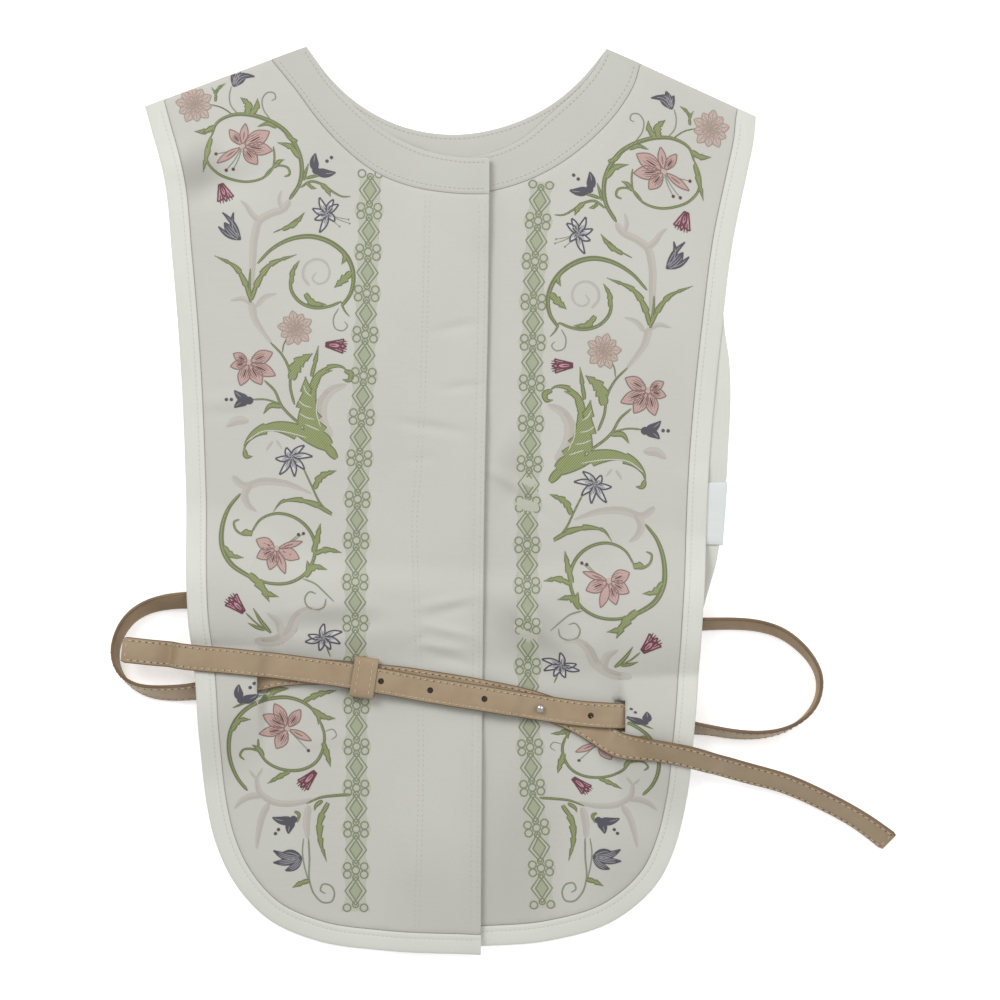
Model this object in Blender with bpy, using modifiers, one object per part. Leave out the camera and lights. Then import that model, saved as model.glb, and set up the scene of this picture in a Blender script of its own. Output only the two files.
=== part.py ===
"""Apron vest laid flat, front upwards: two fronts and a back joined at the shoulders, open
sides, a shaped neckband in three pieces, bound edges, and one leather belt that passes
through a slit in each front and stands out in a loop at each side.

The frame: X across the vest, +Y towards the shoulders, +Z up, the underside on Z = 0.
Outlines are in millimetres and become metres when a mesh is made."""

import math

import bmesh
import bpy
import numpy as np
from mathutils import Matrix, Vector
from mathutils.geometry import delaunay_2d_cdt

MM = 0.001

# The origin is under the middle of the whole outline, belt included.
CENTRE_X, CENTRE_Y = 1.43, -0.15

# Cloth walls and the levels of the layers, from the surface up
GAP = 0.3
BACK_WALL = 1.3
BAND_WALL_BACK = 1.5
FRONT_BASE = BAND_WALL_BACK + GAP
FRONT_WALL = 1.2
BAND_WALL = 1.6
OVERLAP_RISE = BAND_WALL + GAP + 0.2
BINDING_WIDTH = 12.4
BACK_INSET = 1.2
LABEL_RAMP = 14.0
PLACKET_LAP = 5.0

# The left front lies over the right one from the hidden edge to the edge of its placket.
HIDDEN_EDGE_X = -46.0
OVERLAP_RAMP = 26.0

# Belt
BELT_WIDTH = 16.0
BELT_WALL = 2.2
BELT_CLEAR = 0.8
# Between these the strands stand on the back, and past them on the surface.
BACK_REACH = (-200.0, 132.0)
# Between these the straps lie on the fronts, and past them they stand free.
UNDER_STRAP_REST = (-144.0, 136.0)
TOP_STRAP_REST = (-200.0, 71.0)
SLIT_WIDTH = 6.0
SLIT_SPARE = 1.6
HOLE_RADIUS = 2.0
RIDGE_MARGIN, RIDGE_RAMP, RIDGE_SPREAD = 2.5, 10.0, 1.2
STIFFNESS = 4.0
KEEPER_LENGTH = 14.9
KEEPER_SPAN = 25.4
KEEPER_WALL = 1.3
KEEPER_SIDE = 2.5
KEEPER_EDGE = 0.4
KEEPER_RAMP = 20.0
KEEPER_AT = (-84.0, -109.8)
KEEPER_TURN = -9.0
LEFT_SLIT_AT = (-150.0, -110.2)
RIGHT_SLIT_AT = (77.4, -133.7)
STUD_AT = (24.8, -128.7)
STUD_HEAD = 2.7
STUD_NECK = 1.4

# Spacing of the points inside a piece of cloth, close where the belt lies under it
FINE_STEP, WIDE_STEP, BACK_STEP = 7.5, 19.0, 30.0
EDGE_STEP = 8.0
BELT_ZONE = (-165.0, -38.0)
STRAP_STEP = 5.0

# Outer edge of each front from the shoulder tip down the side and along the hem (x, y)
LEFT_SIDE = [
    (-220.2, 244.1), (-215.8, 227.9), (-209.6, 205.5), (-203.2, 148.5), (-197.6, 75.0),
    (-195.0, 12.1), (-193.6, -37.5), (-191.7, -77.8), (-187.6, -111.9), (-185.7, -149.1),
    (-182.4, -186.3), (-176.6, -212.0), (-165.6, -236.0), (-144.0, -259.8),
    (-114.4, -273.1), (-75.0, -279.2), (-40.0, -281.0), (-11.9, -281.5),
]
RIGHT_SIDE = [
    (158.8, 237.8), (157.4, 222.9), (153.4, 203.1), (144.6, 160.9), (138.2, 111.3),
    (132.9, 61.7), (129.1, 12.1), (127.0, -37.5), (124.6, -74.7), (122.2, -111.9),
    (118.9, -149.1), (115.4, -186.3), (110.0, -211.1), (98.9, -235.9), (71.5, -260.5),
    (31.9, -273.1), (-9.0, -276.6), (-46.0, -277.2),
]
# Left edge of the back, which follows the front a little further in
BACK_LEFT_SIDE = [(-219.0, 243.7)] + [
    (x + BACK_INSET, y + (BACK_INSET if y < -200.0 else 0.0)) for x, y in LEFT_SIDE[1:-3]
] + [(-75.0, -276.6), (-30.0, -276.4)]
# Right edge of the back, which shows past the front from the chest to the belt
BACK_RIGHT_SIDE = [
    (157.6, 237.2), (156.0, 222.4), (152.0, 203.0), (143.4, 160.9), (138.6, 125.0),
    (139.4, 108.0), (142.4, 86.0), (143.2, 66.0), (142.0, 36.9), (140.6, 12.1),
    (138.0, -12.7), (134.6, -37.5), (128.4, -60.0), (123.0, -80.0), (121.0, -111.9),
    (117.6, -149.1), (114.2, -186.3), (108.8, -211.1), (97.7, -235.9), (70.6, -259.6),
    (31.2, -272.0), (-30.0, -276.4),
]

# Neckband of each front: points of the neck edge and, across from each, of the seam
NECK_LEFT = [
    {"neck": (-120.0, 281.2), "seam": (-141.7, 273.3)},
    {"neck": (-104.0, 257.8), "seam": (-126.6, 254.8)},
    {"neck": (-92.1, 245.8), "seam": (-112.4, 235.6)},
    {"neck": (-80.3, 235.3), "seam": (-97.2, 219.2)},
    {"neck": (-64.8, 224.8), "seam": (-77.2, 203.6)},
    {"neck": (-46.8, 216.7), "seam": (-56.0, 194.8)},
    {"neck": (-26.0, 212.4), "seam": (-30.0, 190.4)},
    {"neck": (-6.6, 211.6), "seam": (-6.6, 189.4)},
]
NECK_RIGHT = [
    {"neck": (66.0, 279.9), "seam": (86.9, 270.8)},
    {"neck": (58.4, 266.6), "seam": (83.0, 257.8)},
    {"neck": (49.9, 256.4), "seam": (75.3, 244.6)},
    {"neck": (30.1, 238.4), "seam": (56.6, 223.8)},
    {"neck": (12.4, 223.5), "seam": (30.4, 204.8)},
    {"neck": (-5.9, 215.6), "seam": (0.3, 193.1)},
    {"neck": (-24.5, 212.5), "seam": (-23.0, 189.8)},
    {"neck": (-46.0, 216.2), "seam": (-46.0, 192.6)},
]
NECK_BACK = [
    {"neck": (-120.0, 281.2), "seam": (-141.7, 273.3)},
    {"neck": (-104.0, 260.4), "seam": (-120.4, 245.0)},
    {"neck": (-90.2, 247.7), "seam": (-102.8, 229.2)},
    {"neck": (-63.0, 232.8), "seam": (-70.4, 211.6)},
    {"neck": (-28.8, 226.9), "seam": (-28.6, 204.6)},
    {"neck": (4.7, 232.6), "seam": (12.4, 211.8)},
    {"neck": (35.0, 247.7), "seam": (48.6, 229.8)},
    {"neck": (49.9, 260.6), "seam": (67.2, 246.0)},
    {"neck": (66.0, 279.9), "seam": (86.9, 270.8)},
]

# Front edge of the placket from the neckband to the hem (x, y)
PLACKET_EDGE = [
    (-6.6, 189.1), (-7.2, 123.7), (-9.4, 12.7), (-10.4, -80.3), (-11.2, -180.0),
    (-11.9, -281.5),
]

# The belt in the order of its length, tip to tip: x, y, z of its middle, and roll, which
# is 0 where the stitched face is up, 90 where it faces out of a loop and 180 face down.
# A z of 0 leaves the strap to rest on what lies under it.
TOP_STRAP = [
    (-232.6, -92.0, 16.6, 0), (-212.0, -94.1, 17.6, 0), (-190.5, -96.8, 0, 0),
    (-164.0, -99.3, 0, 0), (-142.3, -102.0, 0, 0), (-120.6, -104.8, 0, 0),
    (-102.0, -107.2, 0, 0), (-73.5, -111.9, 0, 0), (-43.1, -117.5, 0, 0),
    (-9.6, -122.8, 0, 0), (24.8, -128.5, 6.0, 0), (56.1, -132.7, 7.3, 0), (70.0, -133.4, 8.0, 0),
]
RIGHT_STRAND = [
    (77.4, -133.8, 5.6, 0), (86.0, -134.6, 3.4, 0), (96.0, -136.5, 3.6, 8),
    (106.0, -138.6, 6.6, 34),
]
RIGHT_LOOP = [
    (106.0, -138.6, 6.6, 34), (118.1, -140.7, 9.6, 60), (128.0, -142.0, 9.0, 67),
    (145.4, -144.8, 8.3, 70), (160.8, -145.2, 8.3, 74), (175.8, -142.1, 8.4, 80),
    (187.2, -135.6, 8.4, 86), (194.6, -127.0, 8.4, 90), (197.6, -118.0, 8.4, 92),
    (197.4, -109.2, 8.4, 96), (192.6, -98.8, 8.4, 101), (184.6, -89.8, 8.4, 106),
    (174.0, -82.2, 8.3, 110), (161.0, -78.0, 8.3, 113), (142.9, -76.4, 8.3, 115),
    (130.0, -76.6, 8.8, 116), (118.0, -76.8, 9.4, 120), (104.0, -76.5, 8.0, 138),
]
BACK_STRAND = [
    (104.0, -76.5, 8.0, 138), (88.0, -75.8, 5.2, 160), (70.0, -75.0, 3.1, 180),
    (0.0, -71.6, 2.9, 180), (-80.0, -67.6, 2.9, 180), (-140.0, -64.4, 3.0, 180),
    (-158.0, -63.4, 4.8, 160), (-174.0, -62.5, 7.0, 143),
]
LEFT_LOOP = [
    (-174.0, -62.5, 7.0, 143), (-192.0, -61.9, 8.8, 128), (-205.6, -63.0, 8.0, 124),
    (-218.0, -66.2, 7.8, 118), (-228.4, -72.8, 8.0, 111), (-235.0, -82.4, 8.2, 104),
    (-238.0, -93.2, 8.3, 98), (-236.8, -103.0, 8.3, 91), (-232.2, -110.4, 8.3, 84),
    (-225.0, -115.6, 8.2, 74), (-216.4, -118.4, 7.8, 62), (-204.3, -119.4, 7.4, 54),
    (-190.0, -118.5, 8.6, 50), (-176.0, -116.6, 7.4, 34),
]
LEFT_STRAND = [
    (-176.0, -116.6, 7.4, 34), (-162.0, -113.4, 5.6, 14), (-150.0, -110.6, 4.5, 0),
]
UNDER_STRAP = [
    (-142.0, -108.4, 4.8, 0), (-124.0, -106.6, 4.8, 0), (-105.1, -106.6, 0, 0),
    (-84.0, -108.8, 0, 0), (-62.0, -110.8, 0, 0), (-43.1, -113.6, 0, 0), (-9.6, -119.2, 0, 0),
    (24.8, -127.4, 0, 0), (51.8, -138.4, 0, 0), (64.0, -146.2, 0, 0), (73.0, -151.5, 0, 2),
    (84.0, -152.9, 9.4, 18), (95.0, -154.0, 13.2, 33), (104.5, -155.5, 16.2, 34),
    (118.1, -158.3, 18.0, 33), (130.5, -161.9, 16.4, 36), (151.6, -168.2, 13.0, 37),
    (175.2, -174.8, 10.4, 40), (199.3, -185.4, 8.6, 42), (222.9, -198.4, 7.4, 42),
    (240.9, -211.5, 6.4, 35),
]
PUNCHED_HOLES = [(-73.5, -111.9), (-43.1, -117.5), (-9.6, -122.8), (56.1, -133.3)]

# Soft folds pressed into both fronts: middle, direction in degrees, length, width, height
FOLDS = [
    {"at": (-170.0, 197.0), "turn": 38.0, "length": 44.0, "width": 17.0, "height": 1.6},
    {"at": (-166.0, 62.0), "turn": 4.0, "length": 52.0, "width": 15.0, "height": 1.5},
    {"at": (4.0, 10.0), "turn": -24.0, "length": 40.0, "width": 14.0, "height": 1.4},
    {"at": (-42.0, -84.0), "turn": 34.0, "length": 46.0, "width": 13.0, "height": 1.6},
    {"at": (20.0, -84.0), "turn": -38.0, "length": 54.0, "width": 15.0, "height": 1.6},
    {"at": (-110.0, -148.0), "turn": 8.0, "length": 60.0, "width": 16.0, "height": 1.3},
    {"at": (84.0, 205.0), "turn": 60.0, "length": 40.0, "width": 16.0, "height": 1.4},
]

LABEL = {"left": 118.0, "right": 141.2, "low": -28.0, "high": 11.0, "wall": 1.0}

COLOURS = {
    "cloth": (0.61, 0.60, 0.55),
    "binding": (0.74, 0.74, 0.69),
    "label": (0.78, 0.82, 0.82),
    "leather": (0.40, 0.29, 0.19),
    "metal": (0.70, 0.70, 0.70),
}
ROUGHNESS = {"cloth": 0.62, "binding": 0.75, "label": 0.6, "leather": 0.5, "metal": 0.25}


def smooth_line(points, step):
    """Points about a step apart on a smooth line through the given ones."""
    knots = np.array(points, float)
    spans = np.linalg.norm(np.diff(knots[:, :2], axis=0), axis=1)
    at = np.concatenate([[0.0], np.cumsum(spans)])
    slopes = np.gradient(knots, at, axis=0)
    where = np.linspace(0.0, at[-1], max(2, round(at[-1] / step) + 1))
    row = np.clip(np.searchsorted(at, where, side="right") - 1, 0, len(spans) - 1)
    span = spans[row][:, None]
    t = (where - at[row])[:, None] / span
    return (
        (2 * t**3 - 3 * t**2 + 1) * knots[row]
        + (t**3 - 2 * t**2 + t) * span * slopes[row]
        + (3 * t**2 - 2 * t**3) * knots[row + 1]
        + (t**3 - t**2) * span * slopes[row + 1]
    )


def moved_sideways(line, distance):
    """The line moved to the left of its own direction by a distance."""
    along = np.gradient(line[:, :2], axis=0)
    along /= np.linalg.norm(along, axis=1)[:, None]
    return line[:, :2] + distance * np.stack([-along[:, 1], along[:, 0]], axis=1)


def cosine_step(value):
    """Falls smoothly from 1 at value 0 to 0 at value 1."""
    return 0.5 + 0.5 * np.cos(np.pi * np.clip(value, 0.0, 1.0))


def standing(line):
    """A strap's line raised so that its lower edge clears the back, or the surface outside."""
    line = line.copy()
    roll = np.radians(line[:, 3])
    reach = BELT_WIDTH / 2 * abs(np.sin(roll)) + BELT_WALL / 2 * abs(np.cos(roll))
    on_back = (line[:, 0] > BACK_REACH[0]) & (line[:, 0] < BACK_REACH[1])
    level = np.where(on_back, BAND_WALL_BACK, 0.0) + GAP
    line[:, 2] = np.maximum(line[:, 2], level + reach)
    return line


def strand_top(rows):
    """A hidden strand as points of x, y, height of its top and half its width in plan."""
    table = standing(smooth_line(rows, STRAP_STEP))
    roll = np.radians(table[:, 3])
    half = BELT_WIDTH / 2
    top = table[:, 2] + half * abs(np.sin(roll)) + BELT_WALL / 2 * abs(np.cos(roll))
    return np.column_stack([table[:, :2], top, half * abs(np.cos(roll))])


def ridge(x, y, rows, slit_end):
    """How far the fronts rise over one strand that lies under them. The rise stops within
    the slit where the strand comes out, at its first or last point as slit_end says."""
    table = strand_top(rows)
    best = np.zeros_like(x)
    for a, b in zip(table[:-1], table[1:]):
        run = b[:2] - a[:2]
        along = (x - a[0]) * run[0] + (y - a[1]) * run[1]
        t = np.clip(along / (run @ run), 0.0, 1.0)[..., None]
        near = a + t * (b - a)
        away = np.hypot(x - near[..., 0], y - near[..., 1])
        rise = np.maximum(near[..., 2] + BELT_CLEAR - FRONT_BASE, 0.0)
        ramp = RIDGE_RAMP + RIDGE_SPREAD * rise
        best = np.maximum(best, rise * cosine_step((away - near[..., 3] - RIDGE_MARGIN) / ramp))
    if slit_end:
        end, before = (table[0], table[1]) if slit_end == "first" else (table[-1], table[-2])
        past = (x - end[0]) * np.sign(end[0] - before[0])
        best *= cosine_step(past / SLIT_WIDTH)
    return best


def fold_rise(x, y):
    total = np.zeros_like(x)
    for fold in FOLDS:
        turn = math.radians(fold["turn"])
        dx, dy = x - fold["at"][0], y - fold["at"][1]
        along = dx * math.cos(turn) + dy * math.sin(turn)
        across = -dx * math.sin(turn) + dy * math.cos(turn)
        reach = np.hypot(along / (fold["length"] / 2), across / (fold["width"] / 2))
        total += fold["height"] * cosine_step(reach)
    return total


def label_rise(x, y):
    """The fronts rise over the edge of the label that is tucked under them."""
    dx = np.maximum(LABEL["left"] - x, 0.0)
    dy = np.maximum(np.maximum(LABEL["low"] - y, y - LABEL["high"]), 0.0)
    return 1.5 * LABEL["wall"] * cosine_step(np.hypot(dx, dy) / LABEL_RAMP)


def front_under(x, y):
    """Height of the underside of a front where it lies on the back and on the belt."""
    x, y = np.asarray(x, float), np.asarray(y, float)
    rises = [
        ridge(x, y, RIGHT_STRAND + RIGHT_LOOP[1:4], "first"),
        ridge(x, y, RIGHT_LOOP[-4:] + BACK_STRAND[1:] + LEFT_LOOP[1:3], ""),
        ridge(x, y, LEFT_LOOP[-3:] + LEFT_STRAND[1:], "last"),
        label_rise(x, y),
    ]
    return FRONT_BASE + np.maximum.reduce(rises) + fold_rise(x, y)


def left_under(x, y):
    """The left front rises once more where it lies over the right front."""
    return front_under(x, y) + OVERLAP_RISE * cosine_step(
        (HIDDEN_EDGE_X - 4.0 - np.asarray(x, float)) / OVERLAP_RAMP
    )


def on_surface(x, y):
    return np.zeros_like(np.asarray(x, float))


def cloth_top(x, y):
    """Height of the uppermost cloth at a place, taking bound edges as everywhere."""
    y = np.asarray(y, float)
    edge = np.interp(-y, [-p[1] for p in PLACKET_EDGE], [p[0] for p in PLACKET_EDGE])
    return np.where(x < edge + PLACKET_LAP, left_under(x, y), front_under(x, y)) + BAND_WALL


def inside(points, outline):
    """Which points lie inside a closed outline."""
    x, y = points[:, :1], points[:, 1:2]
    ax, ay = outline[:, 0], outline[:, 1]
    bx, by = np.roll(ax, -1), np.roll(ay, -1)
    crosses = (ay > y) != (by > y)
    with np.errstate(divide="ignore", invalid="ignore"):
        at = ax + (y - ay) * (bx - ax) / (by - ay)
    return (crosses & (x < at)).sum(axis=1) % 2 == 1


def distance_to(points, outline):
    a = outline
    run = np.roll(a, -1, axis=0) - a
    away = points[:, None, :] - a[None, :, :]
    t = np.clip((away * run).sum(2) / np.maximum((run * run).sum(1), 1e-9), 0, 1)
    return np.linalg.norm(away - t[..., None] * run, axis=2).min(axis=1)


def rows_of_points(low, high, step):
    """Points in staggered rows over a box."""
    found = []
    for i, y in enumerate(np.arange(low[1] + step / 2, high[1], step * 0.87)):
        found += [(x, y) for x in np.arange(low[0] + (i % 2) * step / 2, high[0], step)]
    return np.array(found).reshape(-1, 2)


def inner_points(outlines, steps):
    """Points to carry the form inside a piece: steps gives each zone's low y, high y, step."""
    kept = []
    for low_y, high_y, step in steps:
        low = (outlines[0][:, 0].min(), max(low_y, outlines[0][:, 1].min()))
        high = (outlines[0][:, 0].max(), min(high_y, outlines[0][:, 1].max()))
        if high[1] <= low[1]:
            continue
        points = rows_of_points(low, high, step)
        fits = inside(points, outlines[0])
        for hole in outlines[1:]:
            fits &= ~inside(points, hole)
        for line in outlines:
            fits &= distance_to(points, line) > 0.45 * step
        kept.append(points[fits])
    return np.concatenate(kept) if kept else np.zeros((0, 2))


def new_material(name, finish):
    material = bpy.data.materials.new(name)
    material.use_nodes = True
    surface = material.node_tree.nodes["Principled BSDF"]
    surface.inputs["Base Color"].default_value = (*COLOURS[finish], 1.0)
    surface.inputs["Roughness"].default_value = ROUGHNESS[finish]
    surface.inputs["Metallic"].default_value = 1.0 if finish == "metal" else 0.0
    return material


def add_object(name, mesh, finish, collection):
    obj = bpy.data.objects.new(name, mesh)
    collection.objects.link(obj)
    mesh.materials.clear()
    mesh.materials.append(new_material(name, finish))
    return obj


def to_metres(x, y, z):
    return Vector(((x - CENTRE_X) * MM, (y - CENTRE_Y) * MM, z * MM))


def cloth_piece(name, outlines, under, wall, steps, finish, collection):
    """A cut piece: its outline and any slits filled with triangles, given a wall and laid
    at the height that the function under gives."""
    points = np.concatenate(outlines + [inner_points(outlines, steps)])
    edges, start = [], 0
    for line in outlines:
        edges += [(start + i, start + (i + 1) % len(line)) for i in range(len(line))]
        start += len(line)
    flat, _, triangles, *_ = delaunay_2d_cdt(
        [Vector(p) for p in points], edges, [], 0, 1e-6
    )
    flat = np.array([tuple(p) for p in flat])
    middles = flat[np.array(triangles)].mean(axis=1)
    kept = inside(middles, outlines[0])
    for hole in outlines[1:]:
        kept &= ~inside(middles, hole)
    low = under(flat[:, 0], flat[:, 1])
    shape = bmesh.new()
    corners = [shape.verts.new(to_metres(*p, z)) for p, z in zip(flat, low)]
    for keep, triangle in zip(kept, triangles):
        if keep:
            shape.faces.new([corners[i] for i in triangle])
    loose = [v for v in shape.verts if not v.link_faces]
    bmesh.ops.delete(shape, geom=loose, context="VERTS")
    raised = bmesh.ops.extrude_face_region(shape, geom=shape.faces[:])
    upper = [v for v in raised["geom"] if isinstance(v, bmesh.types.BMVert)]
    bmesh.ops.translate(shape, verts=upper, vec=(0.0, 0.0, wall * MM))
    bmesh.ops.recalc_face_normals(shape, faces=shape.faces[:])
    mesh = bpy.data.meshes.new(name)
    shape.to_mesh(mesh)
    shape.free()
    return add_object(name, mesh, finish, collection)


def shoulder_point(tip, neck, distance):
    """The point of a shoulder seam at a distance from its tip."""
    tip, neck = np.array(tip), np.array(neck)
    return tip + (neck - tip) * distance / np.linalg.norm(neck - tip)


def neckband(name, rows, under, wall, collection):
    neck = smooth_line([row["neck"] for row in rows], EDGE_STEP)
    seam = smooth_line([row["seam"] for row in rows], EDGE_STEP)
    outline = np.concatenate([neck, seam[::-1]])
    return cloth_piece(name, [outline], under, wall, [], "cloth", collection)


def binding_edges(side, inwards, neck_end):
    """The outer edge of a bound side and, a binding's width in, its inner edge."""
    outer = smooth_line(side, EDGE_STEP)
    inner = moved_sideways(outer, inwards * BINDING_WIDTH)
    inner[0] = shoulder_point(outer[0], neck_end, BINDING_WIDTH)
    return outer, inner


def binding(name, side, inwards, neck_end, under, wall, collection):
    outer, inner = binding_edges(side, inwards, neck_end)
    outline = np.concatenate([outer, inner[::-1]])
    return cloth_piece(name, [outline], under, wall, [], "binding", collection)


def slit_outline(at, direction):
    """A slit across the belt: at is the middle of the lip that lies over the strap, and
    direction is the way, -1 or 1, to the lip that the strap lies on."""
    half = BELT_WIDTH / 2 + SLIT_SPARE
    x0, x1 = at[0], at[0] + direction * SLIT_WIDTH
    low, high = at[1] - half, at[1] + half
    return np.array([(x0, low), (x1, low), (x1, high), (x0, high)])


def front_steps():
    low, high = BELT_ZONE
    return [(-999.0, low, WIDE_STEP), (low, high, FINE_STEP), (high, 999.0, WIDE_STEP)]


def panel_outline(side, inwards, rows, centre_edge):
    """A front inside its binding: down the side, along the hem, up the centre edge and
    along the neckband's seam to the shoulder."""
    neck_end = rows[0]["seam"]
    outer, inner = binding_edges(side, inwards, neck_end)
    inner = moved_sideways(inner, inwards * GAP)
    seam = smooth_line([row["seam"] for row in rows], EDGE_STEP)
    seam = moved_sideways(seam, -inwards * GAP)
    top = shoulder_point(outer[0], neck_end, BINDING_WIDTH + GAP)
    inner[0] = top
    centre = smooth_line(centre_edge, EDGE_STEP * 1.5)
    centre = centre[(centre[:, 1] > inner[-1, 1] + 3.0) & (centre[:, 1] < seam[-1, 1] - 3.0)]
    return np.concatenate([inner, centre[::-1], seam[::-1]])


def make_back(collection):
    side = smooth_line(BACK_LEFT_SIDE, EDGE_STEP)
    other = smooth_line(BACK_RIGHT_SIDE, EDGE_STEP)
    outer = np.concatenate([side, other[::-1][1:]])
    inner = moved_sideways(outer, BINDING_WIDTH)
    inner[0] = shoulder_point(outer[0], NECK_BACK[0]["seam"], BINDING_WIDTH)
    inner[-1] = shoulder_point(outer[-1], NECK_BACK[-1]["seam"], BINDING_WIDTH)
    ring = np.concatenate([outer, inner[::-1]])
    cloth_piece("back_binding", [ring], on_surface, BAND_WALL_BACK, [], "binding", collection)
    neckband("back_neck_band", NECK_BACK, on_surface, BAND_WALL_BACK, collection)
    edge = moved_sideways(inner, GAP)
    edge[0] = shoulder_point(outer[0], NECK_BACK[0]["seam"], BINDING_WIDTH + GAP)
    edge[-1] = shoulder_point(outer[-1], NECK_BACK[-1]["seam"], BINDING_WIDTH + GAP)
    seam = smooth_line([row["seam"] for row in NECK_BACK], EDGE_STEP)
    seam = moved_sideways(seam, -GAP)
    outline = np.concatenate([edge, seam[::-1]])
    steps = [(-999.0, 999.0, BACK_STEP)]
    cloth_piece("back_panel", [outline], on_surface, BACK_WALL, steps, "cloth", collection)


def make_fronts(collection):
    left_neck, right_neck = NECK_LEFT[0]["seam"], NECK_RIGHT[0]["seam"]
    binding("binding_left", LEFT_SIDE, 1, left_neck, left_under, BAND_WALL, collection)
    binding("binding_right", RIGHT_SIDE, -1, right_neck, front_under, BAND_WALL, collection)
    neckband("neck_band_left", NECK_LEFT, left_under, BAND_WALL, collection)
    neckband("neck_band_right", NECK_RIGHT, front_under, BAND_WALL, collection)
    left = panel_outline(LEFT_SIDE, 1, NECK_LEFT, PLACKET_EDGE)
    slit = slit_outline(LEFT_SLIT_AT, 1)
    cloth_piece(
        "front_left_panel", [left, slit], left_under, FRONT_WALL, front_steps(), "cloth", collection
    )
    hidden = [(HIDDEN_EDGE_X, 193.0), (HIDDEN_EDGE_X, 0.0), (HIDDEN_EDGE_X, -277.0)]
    right = panel_outline(RIGHT_SIDE, -1, NECK_RIGHT, hidden)
    slit = slit_outline(RIGHT_SLIT_AT, -1)
    cloth_piece(
        "front_right_panel", [right, slit], front_under, FRONT_WALL, front_steps(), "cloth", collection
    )


def make_label(collection):
    x0, x1, y0, y1 = (LABEL[side] for side in ("left", "right", "low", "high"))
    outline = np.array([(x0, y0), (x1 - 3.0, y0), (x1, y1), (x0, y1)])
    height = BAND_WALL_BACK + GAP
    cloth_piece(
        "care_label", [outline], lambda x, y: on_surface(x, y) + height, LABEL["wall"] * 0.9,
        [], "label", collection,
    )


def highest_near(line, reach):
    """For each point of a line, the greatest z within reach along it, and its distance."""
    at = np.concatenate([[0.0], np.cumsum(np.linalg.norm(np.diff(line[:, :2], axis=0), axis=1))])
    near = abs(at[:, None] - at[None, :]) <= reach
    return np.where(near, line[None, :, 2], -1.0).max(axis=1), at


def rested(line, floor):
    """A strap's line raised to lie on what floor gives, and smoothed as stiff leather."""
    line = line.copy()
    line[:, 2] = np.maximum(line[:, 2], floor)
    high, at = highest_near(line, STIFFNESS)
    weight = cosine_step(abs(at[:, None] - at[None, :]) / STIFFNESS)
    line[:, 2] = (weight * high[None, :]).sum(axis=1) / weight.sum(axis=1)
    return line


def cloth_under_strap(line):
    """Height at which the middle of a flat strap just clears the cloth below its width."""
    across = moved_sideways(line, 1.0) - line[:, :2]
    lean = np.sin(np.radians(line[:, 3]))
    tops = [
        cloth_top(*(line[:, :2] + across * offset).T) - lean * offset
        for offset in np.linspace(-BELT_WIDTH / 2, BELT_WIDTH / 2, 7)
    ]
    return np.max(tops, axis=0) + 1.5 * GAP + BELT_WALL / 2


def keeper_room(line):
    """The lower wall of the keeper raises the straps a little where it passes under them."""
    away = np.hypot(line[:, 0] - KEEPER_AT[0], line[:, 1] - KEEPER_AT[1])
    return (KEEPER_WALL + GAP) * cosine_step((away - KEEPER_LENGTH) / KEEPER_RAMP)


def under_strap_line():
    rows = LEFT_STRAND[-1:] + UNDER_STRAP
    line = smooth_line(rows, STRAP_STEP)
    floor = cloth_under_strap(line) + keeper_room(line)
    floor[(line[:, 0] < UNDER_STRAP_REST[0]) | (line[:, 0] > UNDER_STRAP_REST[1])] = 0.0
    return rested(line, floor)


def top_strap_line():
    line = smooth_line(TOP_STRAP + RIGHT_STRAND[:1], STRAP_STEP)
    below = under_strap_line()
    floor = cloth_under_strap(line) + keeper_room(line)
    apart = np.linalg.norm(line[:, None, :2] - below[None, :, :2], axis=2)
    lap = np.where(apart < BELT_WIDTH + 0.6, below[None, :, 2], 0.0).max(axis=1)
    floor = np.maximum(floor, lap + BELT_WALL + GAP)
    floor[(line[:, 0] < TOP_STRAP_REST[0]) | (line[:, 0] > TOP_STRAP_REST[1])] = 0.0
    return rested(line, floor)


def strap(name, line, collection):
    """A flat strap along a line of x, y, z and roll."""
    path = line[:, :3]
    along = np.gradient(path, axis=0)
    along /= np.linalg.norm(along, axis=1)[:, None]
    roll = np.radians(line[:, 3])[:, None]
    left = np.stack([-along[:, 1], along[:, 0], np.zeros(len(line))], axis=1)
    left /= np.linalg.norm(left, axis=1)[:, None]
    face = np.cos(roll) * np.cross(along, left) - np.sin(roll) * left
    across = np.cross(face, along)
    bpy.ops.mesh.primitive_grid_add(x_subdivisions=len(line) - 1, y_subdivisions=1, size=2.0)
    obj = bpy.context.active_object
    obj.name = obj.data.name = name
    for vertex in obj.data.vertices:
        row = round((vertex.co.x + 1.0) / 2.0 * (len(line) - 1))
        place = path[row] + across[row] * vertex.co.y * BELT_WIDTH / 2
        vertex.co = to_metres(*place)
    wall = obj.modifiers.new("wall", "SOLIDIFY")
    wall.thickness = BELT_WALL * MM
    wall.offset = 0.0
    wall.use_even_offset = True
    obj.data.materials.append(new_material(name, "leather"))
    for other in list(obj.users_collection):
        other.objects.unlink(obj)
    collection.objects.link(obj)
    return obj


def trimmed(line, start, end):
    """A line shortened at its ends by two distances."""
    line = line.copy()
    for here, there, distance in ((0, 1, start), (-1, -2, end)):
        run = line[there, :2] - line[here, :2]
        line[here, :2] += run * distance / np.linalg.norm(run)
    return line


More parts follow.
